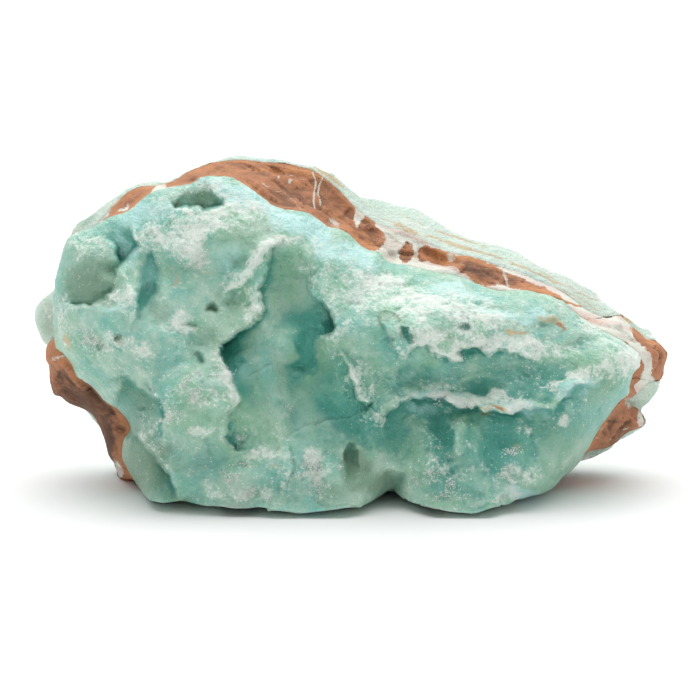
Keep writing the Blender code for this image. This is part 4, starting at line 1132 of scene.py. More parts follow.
@dataclass
class BlueMass(StoneLayer):
    """The thick, hollowed mass of blue-green aragonite in front of the slab.

    Pairs of _heights are where a change starts and where it is full. The pit and the wax have a
    width and a rise each.
    """

    bulk: float = 14.0
    bulk_top: float = 10.0
    bulk_heights: tuple[float, float] = (25.0, 60.0)
    foot_rounding: float = 5.0
    brow_rounding: float = 17.0
    brow_heights: tuple[float, float] = (2.0, 48.0)
    edge: float = 0.6
    least: float = 1.6
    foot_heights: tuple[float, float] = (9.0, 4.0)
    foot_hang: float = 8.0
    foot_nearest: float = -26.2
    toe: float = 4.5
    toe_share: float = 0.85
    toe_most: float = 5.0
    hollow_depths: tuple[float, float] = (0.8, 4.5)
    crest_fade: float = 2.0
    crust: Crust = Crust((4.2, 0.6), (2.2, 0.42), (1.1, 0.34), 0.62)
    pit: tuple[float, float] = (1.9, 0.5)
    wax: tuple[float, float] = (7.0, 0.45)
    cluster_size: float = 2.2
    cluster_heights: tuple[float, float] = (1.5, 3.0)

    def relief(self, points: Grid) -> Relief:
        """The relief of the front, towards the viewer.

        Args:
            points: Points on the face plane.

        Returns:
            The relief at each point.
        """
        bent = self.bent(points, *self.relief_wander)
        height = swell_height(bent, FRONT_SWELLS)
        sunk = -swell_height(bent, FRONT_HOLLOWS)
        lip = np.zeros(len(points))
        for ledge in FRONT_LEDGES:
            lifted, dropped, near = ledge.relief(bent)
            height += lifted
            sunk += dropped
            lip = np.maximum(lip, near)
        for crest_height, width, path in FRONT_CRESTS:
            track = Track.along(bent, path)
            fade = smoothstep(0, self.crest_fade, track.from_end)
            near = fade * np.exp(-2 * (track.distance / width) ** 2)
            height += crest_height * near
            lip = np.maximum(lip, near * np.clip(crest_height - 0.5, 0, 1))
        return Relief(height - sunk, smoothstep(*self.hollow_depths, sunk), lip)

    def sheets(self, points: Grid, rim: Track, relief: Relief) -> tuple[Grid, Grid]:
        """Depth of the front and the back sheet at points inside the outline.

        Args:
            points: Points on the face plane.
            rim: Where the points lie beside the outline.
            relief: The relief there.

        Returns:
            The two depths at each point.
        """
        up = points[:, 1]
        rounding = between(self.foot_rounding, self.brow_rounding, smoothstep(*self.brow_heights, up))
        full = fullness(rim, rounding)
        bulk = between(self.bulk, self.bulk_top, smoothstep(*self.bulk_heights, up))
        joint = SLAB_FRONT + swell_height(points, SLAB_FRONT_BENDS)
        back = np.minimum(joint, self.plane.table_depth(up))
        rim_up = rim.values[:, 0]
        foot = smoothstep(*self.foot_heights, rim_up)
        contact = self.plane.table_depth(rim_up) - self.foot_hang * foot
        rim_depth = np.minimum(joint, np.maximum(contact, self.foot_nearest))
        face = SLAB_FRONT - bulk - relief.height
        toe = self.toe_share * foot * np.exp(-((rim.distance / self.toe) ** 2))
        face = face - toe * np.clip(face - self.foot_nearest, 0, self.toe_most)
        front = between(rim_depth, face, full)
        return np.minimum(front, back - between(self.edge, self.least, full)), back

    def crumble(self, points: Grid, space: Grid, relief: Relief) -> Grid:
        """Sugary crust on what stands out, and a smooth waxy skin in the hollows.

        Args:
            points: Points on the face plane.
            space: Their places in the block, in millimetres.
            relief: The relief there.

        Returns:
            How far each point moves outwards.
        """
        tints = self.tint_marks(points, FRONT_TINTS)
        rough = np.clip(1 - 1.1 * relief.hollow, 0.1, 1) * (1 - 0.85 * tints["green"])
        rough = rough * (0.4 + 0.4 * np.clip(tints["white"] + 0.6 * relief.lip, 0, 1))
        pits = self.pit[1] * smoothstep(0.25, 0.6, self.noise.cloud(space + 90, self.pit[0], 2))
        waxy = self.wax[1] * self.noise.cloud(space + 20, self.wax[0], 4, 0.42)
        return waxy + rough * (self.crust.height(self.noise, space) - pits)

    def marks(self, points: Grid, space: Grid, relief: Relief) -> dict[str, Grid]:
        """Tints, hollows, lips, and where sugary grains sit.

        Args:
            points: Points on the face plane.
            space: Their places in the block, in millimetres.
            relief: The relief there.

        Returns:
            Each mark's strength at each point.
        """
        marks = self.tint_marks(points, FRONT_TINTS)
        marks["hollow"] = relief.hollow
        marks["lip"] = relief.lip
        cluster = smoothstep(0.05, 0.3, self.noise.cloud(space + 140, self.cluster_size, 3))
        marks["sugar"] = marks["sugar"] * cluster * smoothstep(*self.cluster_heights, space[:, 2])
        return marks

    def finish(self) -> bpy.types.Material:
        """The layer's material."""
        return AragoniteFinish().material("blue_aragonite_finish")


@dataclass
class BrownSlab(StoneLayer):
    """The upright slab of brown rock, bare where the blue mass doesn't reach.

    A fold has a turn in degrees, a spacing and a rise; the grain and the chips, a width and a rise.
    The pale bands start at pale_across and pale_up.
    """

    front_outline: Outline = Outline(FRONT_CORNERS)
    overlap: float = 0.25
    edge: float = 0.8
    folds: tuple[Row, ...] = ((-26, 6.5, 0.8), (38, 9, 0.9), (-68, 11, 1.0))
    grain: tuple[float, float] = (2.4, 0.2)
    broad_chip: tuple[float, float] = (6.5, 0.9)
    small_chip: tuple[float, float] = (2.4, 0.2)
    pale_across: tuple[float, float] = (0.0, 1.5)
    pale_up: tuple[float, float] = (31.5, 34.0)
    rim_reach: tuple[float, float] = (1.4, 0.2)
    curl: tuple[float, float] = (2.4, 1.1)
    curl_heights: tuple[float, float] = (35.0, 50.0)
    strata_lean: float = 0.36
    strata_size: tuple[float, float] = (9.0, 0.9)
    relief_wander: tuple[float, float] = (0.8, 0.3)
    tint_wander: tuple[float, float] = (1.1, 0.44)

    def relief(self, points: Grid) -> Relief:
        """Relief of broken rock: straight folds in a few directions, blocks and recesses.

        Args:
            points: Points on the face plane.

        Returns:
            The relief at each point.
        """
        bent = self.bent(points, *self.relief_wander)
        height = swell_height(bent, SLAB_SWELLS)
        for turn, spacing, rise in self.folds:
            along = bent[:, 1] * cos(radians(turn)) - bent[:, 0] * sin(radians(turn))
            height += rise * abs(2 * np.mod(along / spacing, 1) - 1)
        flat = np.zeros(len(points))
        return Relief(height, flat, flat)

    def sheets(self, points: Grid, rim: Track, relief: Relief) -> tuple[Grid, Grid]:
        """Depth of the front and the back sheet at points inside the outline.

        Args:
            points: Points on the face plane.
            rim: Where the points lie beside the outline.
            relief: The relief there.

        Returns:
            The two depths at each point.
        """
        beyond = self.front_outline.beyond(points)
        share = beyond / np.maximum(beyond + rim.distance, 0.01)
        curl = between(*self.curl, smoothstep(*self.curl_heights, points[:, 1]))
        joint = SLAB_FRONT + swell_height(points, SLAB_FRONT_BENDS) - self.overlap
        far = SLAB_BACK + swell_height(points, SLAB_BACK_BENDS)
        back = np.minimum(far, self.plane.table_depth(points[:, 1]))
        bare = smoothstep(0, 1.5, beyond) * smoothstep(0, 2, rim.distance)
        front = between(joint, far - self.edge, share**curl) + relief.height * bare
        return np.minimum(front, back - self.edge), back

    def crumble(self, points: Grid, space: Grid, relief: Relief) -> Grid:
        """Chipped facets and a fine broken grain.

        Args:
            points: Points on the face plane.
            space: Their places in the block, in millimetres.
            relief: The relief there.

        Returns:
            How far each point moves outwards.
        """
        stretched = space * (0.5, 1.6, 1.6)
        grain = self.grain[1] * self.noise.cloud(stretched, self.grain[0], 4, 0.6)
        broad = self.broad_chip[1] * self.noise.chips(space * (0.6, 1, 1) + 60, self.broad_chip[0])[1]
        small = self.small_chip[1] * self.noise.chips(space + 80, self.small_chip[0])[1]
        bare = smoothstep(0, 1.2, self.front_outline.beyond(points))
        bare = bare * smoothstep(0, 1.5, self.outline.track(points).distance)
        return grain + bare * (broad + small)

    def marks(self, points: Grid, space: Grid, relief: Relief) -> dict[str, Grid]:
        """Tints and thin lines, among them painted shade and dark cracks, rusty rims, and the pale bands
        that cross the rock on the right.

        Args:
            points: Points on the face plane.
            space: Their places in the block, in millimetres.
            relief: The relief there.

        Returns:
            Each mark's strength at each point.
        """
        marks = self.tint_marks(points, SLAB_TINTS)
        self.draw_lines(marks, points, SLAB_LINES)
        beyond = self.front_outline.beyond(points)
        rim = self.outline.track(points).distance
        marks["rim"] = smoothstep(*self.rim_reach, np.minimum(beyond, rim))
        across, up = self.bent(points, *self.line_wander).T
        zone = smoothstep(*self.pale_across, across) * smoothstep(*self.pale_up, up)
        marks["pale"] = np.maximum(marks["pale"], zone) * (1 - marks.pop("brown"))
        level = points[:, 1] + self.strata_lean * points[:, 0]
        length, thickness = self.strata_size
        layered = np.column_stack([points[:, 0] / length, level / thickness, np.zeros(len(points))])
        marks["strata"] = 0.5 + 0.5 * self.noise.wave(layered, 5)
        return marks

    def finish(self) -> bpy.types.Material:
        """The layer's material."""
        return BrownRockFinish().material("brown_rock_finish")


@dataclass
class BackMass(StoneLayer):
    """The paler, crusted aragonite behind the slab, with drifts of deeper tone over its back."""

    slab_outline: Outline = Outline(SLAB_CORNERS)
    bulk: float = 9.5
    rounding: float = 11.0
    foot_rounding: float = 4.5
    rounding_heights: tuple[float, float] = (8.0, 26.0)
    bevel: float = 1.0
    overlap: float = 0.25
    edge: float = 0.7
    crust: Crust = Crust((3.6, 0.55), (2.1, 0.34), (1.0, 0.2), 0.55)
    deep_margin: tuple[float, float] = (3.0, 11.0)
    deep_size: float = 16.0
    relief_wander: tuple[float, float] = (1.4, 0.5)
    tint_wander: tuple[float, float] = (0.7, 0.28)

    def relief(self, points: Grid) -> Relief:
        """The relief of the back, away from the viewer.

        Args:
            points: Points on the face plane.

        Returns:
            The relief at each point.
        """
        bent = self.bent(points, *self.relief_wander)
        height = swell_height(bent, BACK_SWELLS)
        lip = np.zeros(len(points))
        for ledge in BACK_LEDGES:
            lifted, dropped, near = ledge.relief(bent)
            height += lifted - dropped
            lip = np.maximum(lip, near)
        return Relief(height, smoothstep(0, -4, height), lip)

    def sheets(self, points: Grid, rim: Track, relief: Relief) -> tuple[Grid, Grid]:
        """Depth of the front and the back sheet at points inside the outline.

        Args:
            points: Points on the face plane.
            rim: Where the points lie beside the outline.
            relief: The relief there.

        Returns:
            The two depths at each point.
        """
        beyond = self.slab_outline.beyond(points)
        joint = SLAB_BACK + swell_height(points, SLAB_BACK_BENDS)
        front = joint - self.overlap + self.bevel * beyond
        share = smoothstep(*self.rounding_heights, points[:, 1])
        full = fullness(rim, between(self.foot_rounding, self.rounding, share))
        back = joint + full * (self.bulk + relief.height)
        back = np.maximum(back, front + self.edge)
        back = np.minimum(back, self.plane.table_depth(points[:, 1]))
        return np.minimum(front, back - self.edge / 2), back

    def crumble(self, points: Grid, space: Grid, relief: Relief) -> Grid:
        """A crust of small knobs, calmer on the band that shows from the front."""
        calm = 1 - 0.6 * smoothstep(0, 1, self.slab_outline.beyond(points))
        return calm * self.crust.height(self.noise, space)

    def marks(self, points: Grid, space: Grid, relief: Relief) -> dict[str, Grid]:
        """Tints on what shows from the front, broad drifts of them over the back, and painted shade as deep
        teal where the back sinks.

        Args:
            points: Points on the face plane.
            space: Their places in the block, in millimetres.
            relief: The relief there.

        Returns:
            Each mark's strength at each point.
        """
        marks = self.tint_marks(points, BACK_TINTS)
        inner = smoothstep(*self.deep_margin, self.outline.track(points).distance)
        deep = inner * (0.45 + 0.5 * self.noise.cloud(space + 200, self.deep_size, 3))
        # Painted shade: the back turns deep teal where its relief sinks.
        sunk = 0.8 * smoothstep(1.0, -3.5, relief.height)
        marks["teal_and_shade"] = np.maximum.reduce([marks["teal_and_shade"], sunk, deep])
        for tint, (offset, width, octaves, start, full, most) in BACK_DRIFTS.items():
            drift = most * smoothstep(start, full, self.noise.cloud(space + offset, width, octaves))
            marks[tint.value] = np.maximum(marks.get(tint.value, 0), drift)
        self.draw_lines(marks, points, BACK_LINES)
        marks["hollow"] = relief.hollow
        marks["lip"] = relief.lip
        return marks

    def finish(self) -> bpy.types.Material:
        """The layer's material."""
        return AragoniteFinish(pale=(0.68, 0.82, 0.72), lift=0.5).material("back_aragonite_finish")


class Nodes:
    """A tree of nodes, to which they are added one at a time."""

    def __init__(self, tree: bpy.types.NodeTree) -> None:
        """Take over a tree."""
        self.tree = tree

    def node(
        self,
        kind: str,
        settings: dict[str, Any] | None = None,
        inputs: dict[str | int, Any] | None = None,
    ) -> bpy.types.Node:
        """Add one node.

        Args:
            kind: The node's type.
            settings: Its own settings, set before its sockets.
            inputs: Values, signals or outputs for its sockets.

        Returns:
            The node.
        """
        node = self.tree.nodes.new(kind)
        for key, value in (settings or {}).items():
            setattr(node, key, value)
        for key, value in (inputs or {}).items():
            if isinstance(value, Signal):
                value = value.socket
            if isinstance(value, bpy.types.NodeSocket):
                self.tree.links.new(value, node.inputs[key])
            else:
                node.inputs[key].default_value = value
        return node


class Signal:
    """A number that varies over a surface, with the maths of an expression."""

    def __init__(self, surface: "Surface", socket: bpy.types.NodeSocket) -> None:
        """Wrap one output of a node.

        Args:
            surface: The material that the node belongs to.
            socket: The output.
        """
        self.surface = surface
        self.socket = socket

    def _join(self, operation: str, *terms: "Signal | float") -> "Signal":
        """One Math node on these terms.

        Args:
            operation: The node's operation.
            terms: Its terms, as signals or numbers.

        Returns:
            The node's result.
        """
        inputs = dict(enumerate(terms))
        node = self.surface.node("ShaderNodeMath", {"operation": operation}, inputs)
        return Signal(self.surface, node.outputs[0])

    def __add__(self, other: "Signal | float") -> "Signal":
        """Self plus other."""
        return self._join("ADD", self, other)

    def __radd__(self, other: float) -> "Signal":
        """Other plus self."""
        return self._join("ADD", other, self)

    def __sub__(self, other: "Signal | float") -> "Signal":
        """Self less other."""
        return self._join("SUBTRACT", self, other)

    def __rsub__(self, other: float) -> "Signal":
        """Other less self."""
        return self._join("SUBTRACT", other, self)

    def __mul__(self, other: "Signal | float") -> "Signal":
        """Self times other."""
        return self._join("MULTIPLY", self, other)

    def __pow__(self, other: float) -> "Signal":
        """Self to a power."""
        return self._join("POWER", self, other)

    def step(self, low: float, high: float, most: float = 1.0) -> "Signal":
        """0 at low, most at high, and an even S between them."""
        node = self.surface.node(
            "ShaderNodeMapRange",
            {"interpolation_type": "SMOOTHSTEP"},
            {"Value": self, "From Min": low, "From Max": high, "To Min": 0.0, "To Max": most},
        )
        return Signal(self.surface, node.outputs[0])


class Surface(Nodes):
    """A material whose nodes are written as expressions."""

    def __init__(self, name: str) -> None:
        """Start an empty material.

        Args:
            name: The material's name.
        """
        self.material = bpy.data.materials.new(name)
        self.material.use_nodes = True
        super().__init__(self.material.node_tree)
        self.tree.nodes.clear()
        self.place = self.node("ShaderNodeTexCoord").outputs["Object"]

    def mark(self, name: str) -> Signal:
        """One of the marks on the piece's vertices."""
        node = self.node("ShaderNodeAttribute", {"attribute_name": name})
        return Signal(self, node.outputs["Fac"])

    def cloud(self, size: float, detail: float = 3.0, roughness: float = 0.55) -> Signal:
        """Soft noise from 0 to 1 whose swings are this many millimetres wide."""
        inputs = {
            "Vector": self.place, "Scale": 1 / (size * MM), "Detail": detail, "Roughness": roughness,
        }
        return Signal(self, self.node("ShaderNodeTexNoise", None, inputs).outputs[0])

    def grains(self, size: float) -> Signal:
        """Distance to the middle of the nearest grain, in grains of this many millimetres."""
        inputs = {"Vector": self.place, "Scale": 1 / (size * MM)}
        return Signal(self, self.node("ShaderNodeTexVoronoi", None, inputs).outputs["Distance"])

    def blend(self, base: Any, over: Any, share: Signal) -> bpy.types.NodeSocket:
        """One colour laid over another by this share.

        Args:
            base: The colour below.
            over: The colour on top.
            share: How much of it shows.

        Returns:
            The blended colour.
        """
        base, over = (self._colour(value) for value in (base, over))
        inputs = {0: share, 6: base, 7: over}
        node = self.node("ShaderNodeMix", {"data_type": "RGBA"}, inputs)
        return node.outputs[2]

    @staticmethod
    def _colour(value: Any) -> Any:
        """A colour with its alpha, or the output it comes from."""
        return value if isinstance(value, bpy.types.NodeSocket) else (*value, 1.0)

    def bump(self, height: Signal, depth: float, strength: float, under: Any = None) -> Any:
        """A bumped normal.

        Args:
            height: The bumps, 0 to 1.
            depth: Their height in millimetres.
            strength: How much of the bump shows.
            under: Another bumped normal that this one lies on.

        Returns:
            The Bump node's normal.
        """
        inputs: dict[str | int, Any] = {"Height": height, "Distance": depth * MM, "Strength": strength}
        if under is not None:
            inputs["Normal"] = under
        return self.node("ShaderNodeBump", None, inputs).outputs[0]

    def close(self, **inputs: Any) -> bpy.types.Material:
        """Feed the shader and the material's output.

        Args:
            inputs: Values and links of the shader's sockets, with _ for a space in a name.

        Returns:
            The finished material.
        """
        named = {key.replace("_", " "): value for key, value in inputs.items()}
        shader = self.node("ShaderNodeBsdfPrincipled", None, named)
        self.node("ShaderNodeOutputMaterial", None, {"Surface": shader.outputs[0]})
        return self.material


@dataclass(frozen=True)
class AragoniteFinish:
    """Translucent blue-green aragonite: waxy in its hollows, white and sugary where it stands out, with
    painted shade as deeper teal and less white in the hollows.

    Each _size is the width of one kind of patch or grain in millimetres, and lift makes more of the
    ground pale.
    """

    mint: Colour = (0.215, 0.53, 0.445)
    warm: Colour = (0.265, 0.53, 0.365)
    pale: Colour = (0.50, 0.68, 0.56)
    # Deep teal, for the stone's own colour and for painted shade in hollows and pockets.
    teal_and_shade: Colour = (0.06, 0.36, 0.295)
    white: Colour = (0.79, 0.85, 0.78)
    cyan: Colour = (0.53, 0.83, 0.81)
    # Grey-green, for the stone's own colour and for painted shade on pits, creases, the cup and the lower
    # left lobe.
    green: Colour = (0.22, 0.36, 0.25)
    ochre: Colour = (0.66, 0.47, 0.25)
    rust: Colour = (0.40, 0.17, 0.07)
    crystal: Colour = (0.9, 0.97, 0.92)
    lift: float = 0.0
    hue_size: float = 13.0
    drift_size: float = 9.0
    patch_size: float = 5.0
    mottle_size: float = 2.4
    sugar_size: float = 0.7
    crystal_size: float = 0.5
    speckle_size: float = 0.55
    wax_roughness: float = 0.42
    translucency: float = 0.45
    light_reach: Colour = (0.7, 1.0, 0.95)
    light_depth: float = 2.2
    refraction: float = 1.53
    gloss: float = 0.45

    def material(self, name: str) -> bpy.types.Material:
        """Build the finish.

        Args:
            name: The material's name.

        Returns:
            The material.
        """
        s = Surface(name)
        drift = s.cloud(self.drift_size, 4, 0.6)
        mottle = s.cloud(self.mottle_size, 4, 0.65)
        sugar = s.cloud(self.sugar_size, 3, 0.7)
        crest, hollow, sweet = s.mark("crest"), s.mark("hollow"), s.mark("sugar")

        colour = s.blend(self.mint, self.warm, s.cloud(self.hue_size, 3).step(0.4, 0.6))
        ground = drift * 0.7 + mottle * 0.5 + self.lift
        colour = s.blend(colour, self.pale, ground.step(0.45, 0.8))
        # Painted shade: more teal in the hollows through the hollow mark and less on crests, over the teal
        # patches and mottling.
        teal_and_shade = s.mark("teal_and_shade") + hollow * 0.12 + (mottle - 0.5) * 0.5 - crest * 0.8
        colour = s.blend(colour, self.teal_and_shade, teal_and_shade.step(0.1, 0.95, 0.9))
        cyan = s.mark("cyan") * (mottle + 0.6)
        colour = s.blend(colour, self.cyan, cyan.step(0.05, 0.8, 0.82))
        green = s.mark("green") * (drift + 0.45)
        colour = s.blend(colour, self.green, green.step(0.1, 0.9, 0.85))

        # Painted shade: less white in the hollows through the hollow mark; the white crust gathers on lips
        # and crests.
        frost = s.mark("white") + s.mark("lip") * mottle * 0.7 + crest * 0.3 - hollow * 0.45
        frost = frost + (s.cloud(self.patch_size, 5, 0.7) - 0.47) * 2.2 + (mottle - 0.5) * 1.2
        frost = frost + (sugar - 0.5) * (sweet * 2 + 1.8) + sweet * 0.3
        colour = s.blend(colour, self.white, frost.step(0.2, 1.05, 0.92))
        # Fewer crystal specks in the hollows, a little more painted shade.
        crystals = (1 - s.grains(self.crystal_size)) * 0.6 + sugar * 0.7 + frost * 0.08 - hollow * 0.05
        colour = s.blend(colour, self.crystal, crystals.step(0.82, 1.0, 0.8))
        ochre = s.mark("ochre") * (mottle + 0.45)
        colour = s.blend(colour, self.ochre, ochre.step(0.25, 0.75, 0.75))
        rust = s.mark("rust") * (mottle + 0.5)
        colour = s.blend(colour, self.rust, rust.step(0.2, 0.6, 0.9))

        normal = s.bump(sugar, 0.6, 0.7)
        normal = s.bump(1 - s.grains(self.speckle_size), 0.35, 0.5, normal)
        return s.close(
            Base_Color=colour,
            Roughness=self.wax_roughness + frost.step(0.1, 0.9, 0.28),
            Normal=normal,
            Subsurface_Weight=self.translucency,
            Subsurface_Radius=self.light_reach,
            Subsurface_Scale=self.light_depth * MM,
            IOR=self.refraction,
            Specular_IOR_Level=self.gloss,
        )


@dataclass(frozen=True)
class BrownRockFinish:
    """Dull brown host rock with rusty rims and pale veins, painted shade in its recesses and a painted
    highlight along its crests.

    Each _size is the width of one kind of patch or grain in millimetres.
    """

    brown: Colour = (0.47, 0.2, 0.098)
    # Deep brown between the crests: drifts of tone, and painted shade away from the edges.
    deep: Colour = (0.25, 0.115, 0.06)
    rust: Colour = (0.62, 0.27, 0.11)
    # Near-black, for painted shade in recesses, for dark cracks and for pits.
    shade_crack_and_pit: Colour = (0.085, 0.04, 0.022)
    vein: Colour = (0.68, 0.63, 0.54)
    beige: Colour = (0.75, 0.76, 0.67)
    lilac: Colour = (0.70, 0.60, 0.54)
    drift_size: float = 7.0
    scratch_size: float = 6.0
    scratch_thinness: float = 45.0
    pit_size: float = 1.7
    grain_size: float = 1.1
    fine_size: float = 0.4
    dullness: float = 0.72
    gloss: float = 0.35

    def material(self, name: str) -> bpy.types.Material:
        """Build the finish.

        Args:
            name: The material's name.

        Returns:
            The material.
        """
        s = Surface(name)
        drift = s.cloud(self.drift_size, 4, 0.6)
        grain = s.cloud(self.grain_size, 4, 0.7)
        fine = s.cloud(self.fine_size, 2, 0.6)
        crest, strata = s.mark("crest"), s.mark("strata")

        # Painted highlight and shade: lighter brown on the crests and deeper brown away from them, over
        # drifts of tone and grain.
        tone = drift * 0.9 + grain * 0.25 + crest * 1.2
        colour = s.blend(self.deep, self.brown, tone.step(0.3, 0.7))
        rust = s.mark("rust") + s.mark("rim") * 0.6 + (grain - 0.5) * 0.9
        colour = s.blend(colour, self.rust, rust.step(0.3, 0.9, 0.75))
        # The pits take the same near-black as the painted shade and the cracks.
        pits = (1 - s.grains(self.pit_size)) * 0.8 + grain * 0.5
        colour = s.blend(colour, self.shade_crack_and_pit, pits.step(0.88, 1.04, 0.6))

        band = s.blend(self.beige, self.lilac, (strata + (grain - 0.5) * 0.5).step(0.35, 0.75))
        pale = s.mark("pale") + (grain - 0.5) * 0.9 + (fine - 0.5) * 0.4
        colour = s.blend(colour, band, pale.step(0.42, 0.6))
        streak = strata + (fine - 0.5) * 1.2
        colour = s.blend(colour, self.rust, streak.step(0.78, 1.0, 0.5))
        # Painted shade and dark cracks, held off the crests.
        shade_crack_and_pit = s.mark("shade_crack_and_pit") + (grain - 0.5) * 0.9 - crest * 0.9
        colour = s.blend(colour, self.shade_crack_and_pit, shade_crack_and_pit.step(0.3, 1.0, 0.85))
        scratch = 1 - ((s.cloud(self.scratch_size, 3, 0.6) - 0.5) * self.scratch_thinness) ** 2
        vein = s.mark("vein") + (grain - 0.5) * 0.4 + scratch.step(0.2, 0.9, 0.25)
        colour = s.blend(colour, self.vein, vein.step(0.3, 0.7, 0.9))

        normal = s.bump(grain, 0.6, 0.8)
        normal = s.bump(fine, 0.3, 0.6, normal)
        roughness = self.dullness + (grain - 0.5) * 0.3
        return s.close(
            Base_Color=colour, Roughness=roughness, Normal=normal, Specular_IOR_Level=self.gloss
        )


@dataclass(frozen=True)
class SugarFinish:
    """Clear white crystal grains."""

    colour: Colour = (0.82, 0.90, 0.84)
    shade: float = 0.8
    tone_size: float = 1.5
    polish_size: float = 0.8
    translucency: float = 0.3
    light_reach: Colour = (0.8, 1.0, 0.95)
    light_depth: float = 1.0

    def material(self, name: str) -> bpy.types.Material:
        """Build the finish.

        Args:
            name: The material's name.

        Returns:
            The material.
        """
        s = Surface(name)
        darker = tuple(self.shade * part for part in self.colour)
        return s.close(
            Base_Color=s.blend(self.colour, darker, s.cloud(self.tone_size).step(0.35, 0.65)),
            Roughness=0.28 + s.cloud(self.polish_size) * 0.2,
            Subsurface_Weight=self.translucency,
            Subsurface_Radius=self.light_reach,
            Subsurface_Scale=self.light_depth * MM,
        )


@dataclass(frozen=True)
class FloorFinish:
    """A plain, near-white table top."""

    colour: Colour = (0.9, 0.9, 0.9)
    shade: float = 0.995
    drift_size: float = 60.0

    def material(self, name: str) -> bpy.types.Material:
        """Build the finish.

        Args:
            name: The material's name.

        Returns:
            The material.
        """
        s = Surface(name)
        darker = tuple(self.shade * part for part in self.colour)
        tone = s.blend(self.colour, darker, s.cloud(self.drift_size))
        return s.close(Base_Color=tone, Roughness=0.8, Specular_IOR_Level=0.1)


@dataclass
class SugarGrains:
    """Crystal grains scattered on a layer wherever its sugar mark is high.

    Each grain is a stub that narrows to top_share of its radius and is turned every way.
    """

    per_square_mm: float = 26.0
    radius: float = 0.12
    top_share: float = 0.55
    length: float = 0.28
    sides: int = 5
    sizes: tuple[float, float] = (0.45, 1.25)
    seed: int = 4

    def tree(self) -> bpy.types.NodeTree:
        """The node group that scatters the grains.

        Returns:
            The group, whose inputs are the layer's mesh, the grains' density and size, the seed and
            the finish.
        """
        tree = bpy.data.node_groups.new("sugar_grains", "GeometryNodeTree")
        kinds = {
            "Layer": "Geometry", "Density": "Float", "Radius": "Float", "Length": "Float",
            "Seed": "Int", "Finish": "Material",
        }
        for name, kind in kinds.items():
            tree.interface.new_socket(name, in_out="INPUT", socket_type=f"NodeSocket{kind}")
        tree.interface.new_socket("Grains", in_out="OUTPUT", socket_type="NodeSocketGeometry")

        add = Nodes(tree).node
        given = add("NodeGroupInput").outputs
        mark = add("GeometryNodeInputNamedAttribute", {"data_type": "FLOAT"}, {"Name": "sugar"})
        times = {"operation": "MULTIPLY"}
        density = add("ShaderNodeMath", times, {0: mark.outputs[0], 1: given["Density"]})
        points = add(
            "GeometryNodeDistributePointsOnFaces", {"distribute_method": "RANDOM"},
            {"Mesh": given["Layer"], "Density": density.outputs[0], "Seed": given["Seed"]},
        )
        narrow = add("ShaderNodeMath", times, {0: given["Radius"], 1: self.top_share})
        grain = add("GeometryNodeMeshCone", None, {
            "Vertices": self.sides, "Radius Bottom": given["Radius"],
            "Radius Top": narrow.outputs[0], "Depth": given["Length"],
        })
        turn = add(
            "FunctionNodeRandomValue", {"data_type": "FLOAT_VECTOR"},
            {0: (0.0,) * 3, 1: (2 * pi,) * 3, "Seed": given["Seed"]},
        )
        least, most = self.sizes
        size = add(
            "FunctionNodeRandomValue", {"data_type": "FLOAT"}, {2: least, 3: most, "Seed": given["Seed"]}
        )
        placed = add("GeometryNodeInstanceOnPoints", None, {
            "Points": points.outputs["Points"], "Instance": grain.outputs["Mesh"],
            "Rotation": turn.outputs[0], "Scale": size.outputs[1],
        })
        real = add("GeometryNodeRealizeInstances", None, {"Geometry": placed.outputs[0]})
        dressed = add(
            "GeometryNodeSetMaterial", None, {"Geometry": real.outputs[0], "Material": given["Finish"]}
        )
        add("NodeGroupOutput", None, {0: dressed.outputs[0]})
        return tree

    def scatter(self, layer: bpy.types.Object, name: str) -> bpy.types.Object:
        """Scatter grains over a finished layer.

        Args:
            layer: The layer's object.
            name: The new piece's name.

        Returns:
            The grains as one piece.
        """
        tree = self.tree()
        carrier = put(name + "_carrier", layer.data)
        modifier = carrier.modifiers.new("Grains", "NODES")
        modifier.node_group = tree
        values = {
            "Density": self.per_square_mm / MM**2, "Radius": self.radius * MM,
            "Length": self.length * MM, "Seed": self.seed,
            "Finish": SugarFinish().material(name + "_finish"),
        }
        for item in tree.interface.items_tree:
            if item.in_out == "INPUT" and item.name in values:
                modifier[item.identifier] = values[item.name]
        graph = bpy.context.evaluated_depsgraph_get()
        mesh = bpy.data.meshes.new_from_object(carrier.evaluated_get(graph))
        carrier.modifiers.remove(modifier)
        bpy.data.objects.remove(carrier)
        mesh.name = name
        piece = put(name, mesh)
        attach(piece, "root")
        LOG.info("%s: %d faces", name, len(mesh.polygons))
        return piece


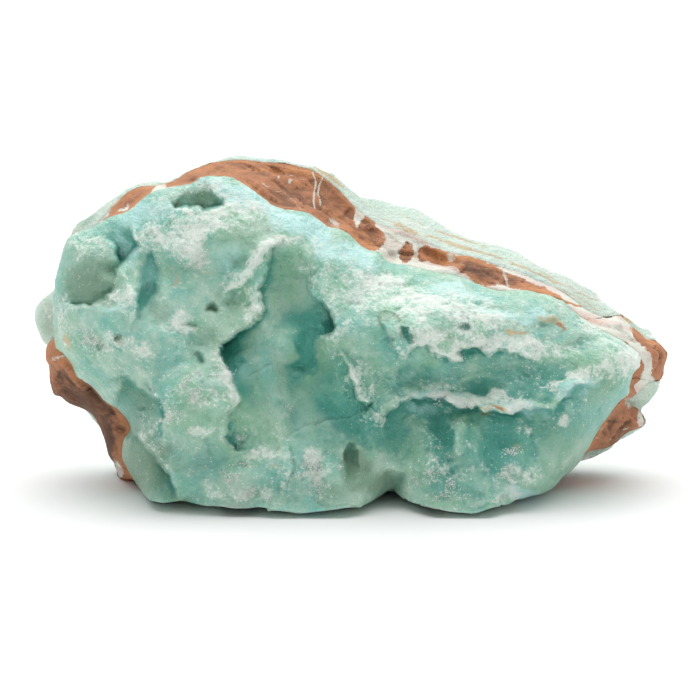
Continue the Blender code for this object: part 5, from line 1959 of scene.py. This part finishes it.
@dataclass
class Studio:
    """The table top, the soft light and the camera. The floor's reach and near_clip are metres."""

    plane: FacePlane
    view_width: float = 133.0
    sensor: float = 36.0
    near_clip: float = 0.01
    reach: float = 6.0
    sky: float = 0.55
    key: float = 2.95
    key_spread: float = radians(80)
    key_lean: float = radians(-24)

    def build(self) -> None:
        """Make the floor, the light and the camera."""
        scene = bpy.context.scene
        scene.view_settings.view_transform = "Standard"
        mesh = bpy.data.meshes.new("table_top")
        corners = [(x * self.reach, y * self.reach, 0) for x, y in ((-1, -1), (1, -1), (1, 1), (-1, 1))]
        mesh.from_pydata(corners, [], [(0, 1, 2, 3)])
        mesh.materials.append(FloorFinish().material("table_finish"))
        put("table_top", mesh)

        scene.world = bpy.data.worlds.new("studio")
        scene.world.use_nodes = True
        background = scene.world.node_tree.nodes["Background"].inputs
        background["Color"].default_value = (1, 1, 1, 1)
        background["Strength"].default_value = self.sky
        lamp = bpy.data.lights.new("overhead", "SUN")
        lamp.energy = self.key
        lamp.angle = self.key_spread
        put("overhead", lamp).rotation_euler = (self.key_lean, 0, 0)

        camera = bpy.data.cameras.new("camera")
        camera.sensor_width = self.sensor
        camera.lens = self.sensor * self.plane.eye_distance / self.view_width
        camera.clip_start = self.near_clip
        eye = put("camera", camera)
        eye.location = self.plane.eye()
        eye.rotation_euler = (pi / 2 - self.plane.tilt, 0, 0)
        scene.camera = eye


def main() -> None:
    """Build the studio and the block's layers in order, and dress them."""
    logging.basicConfig(level=logging.INFO, format="%(message)s")
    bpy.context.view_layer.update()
    plane = FacePlane()
    Studio(plane).build()
    blue = BlueMass(
        plane, Outline(FRONT_CORNERS), middle=(-2, 30), name="blue_mass", node="blue_aragonite",
        front_plan=FINE, back_plan=HIDDEN,
    ).build()
    BrownSlab(
        plane, Outline(SLAB_CORNERS), middle=(0, 33), name="brown_slab", node="brown_matrix",
        front_plan=EDGE_FINE, back_plan=HIDDEN,
    ).build()
    BackMass(
        plane, Outline(BACK_CORNERS), middle=(0, 33), name="back_mass", node="back_aragonite",
        front_plan=BAND_FINE, back_plan=BACK_FINE,
    ).build()
    SugarGrains().scatter(blue, "sugar_grains")


if __name__ == "__main__":
    main()
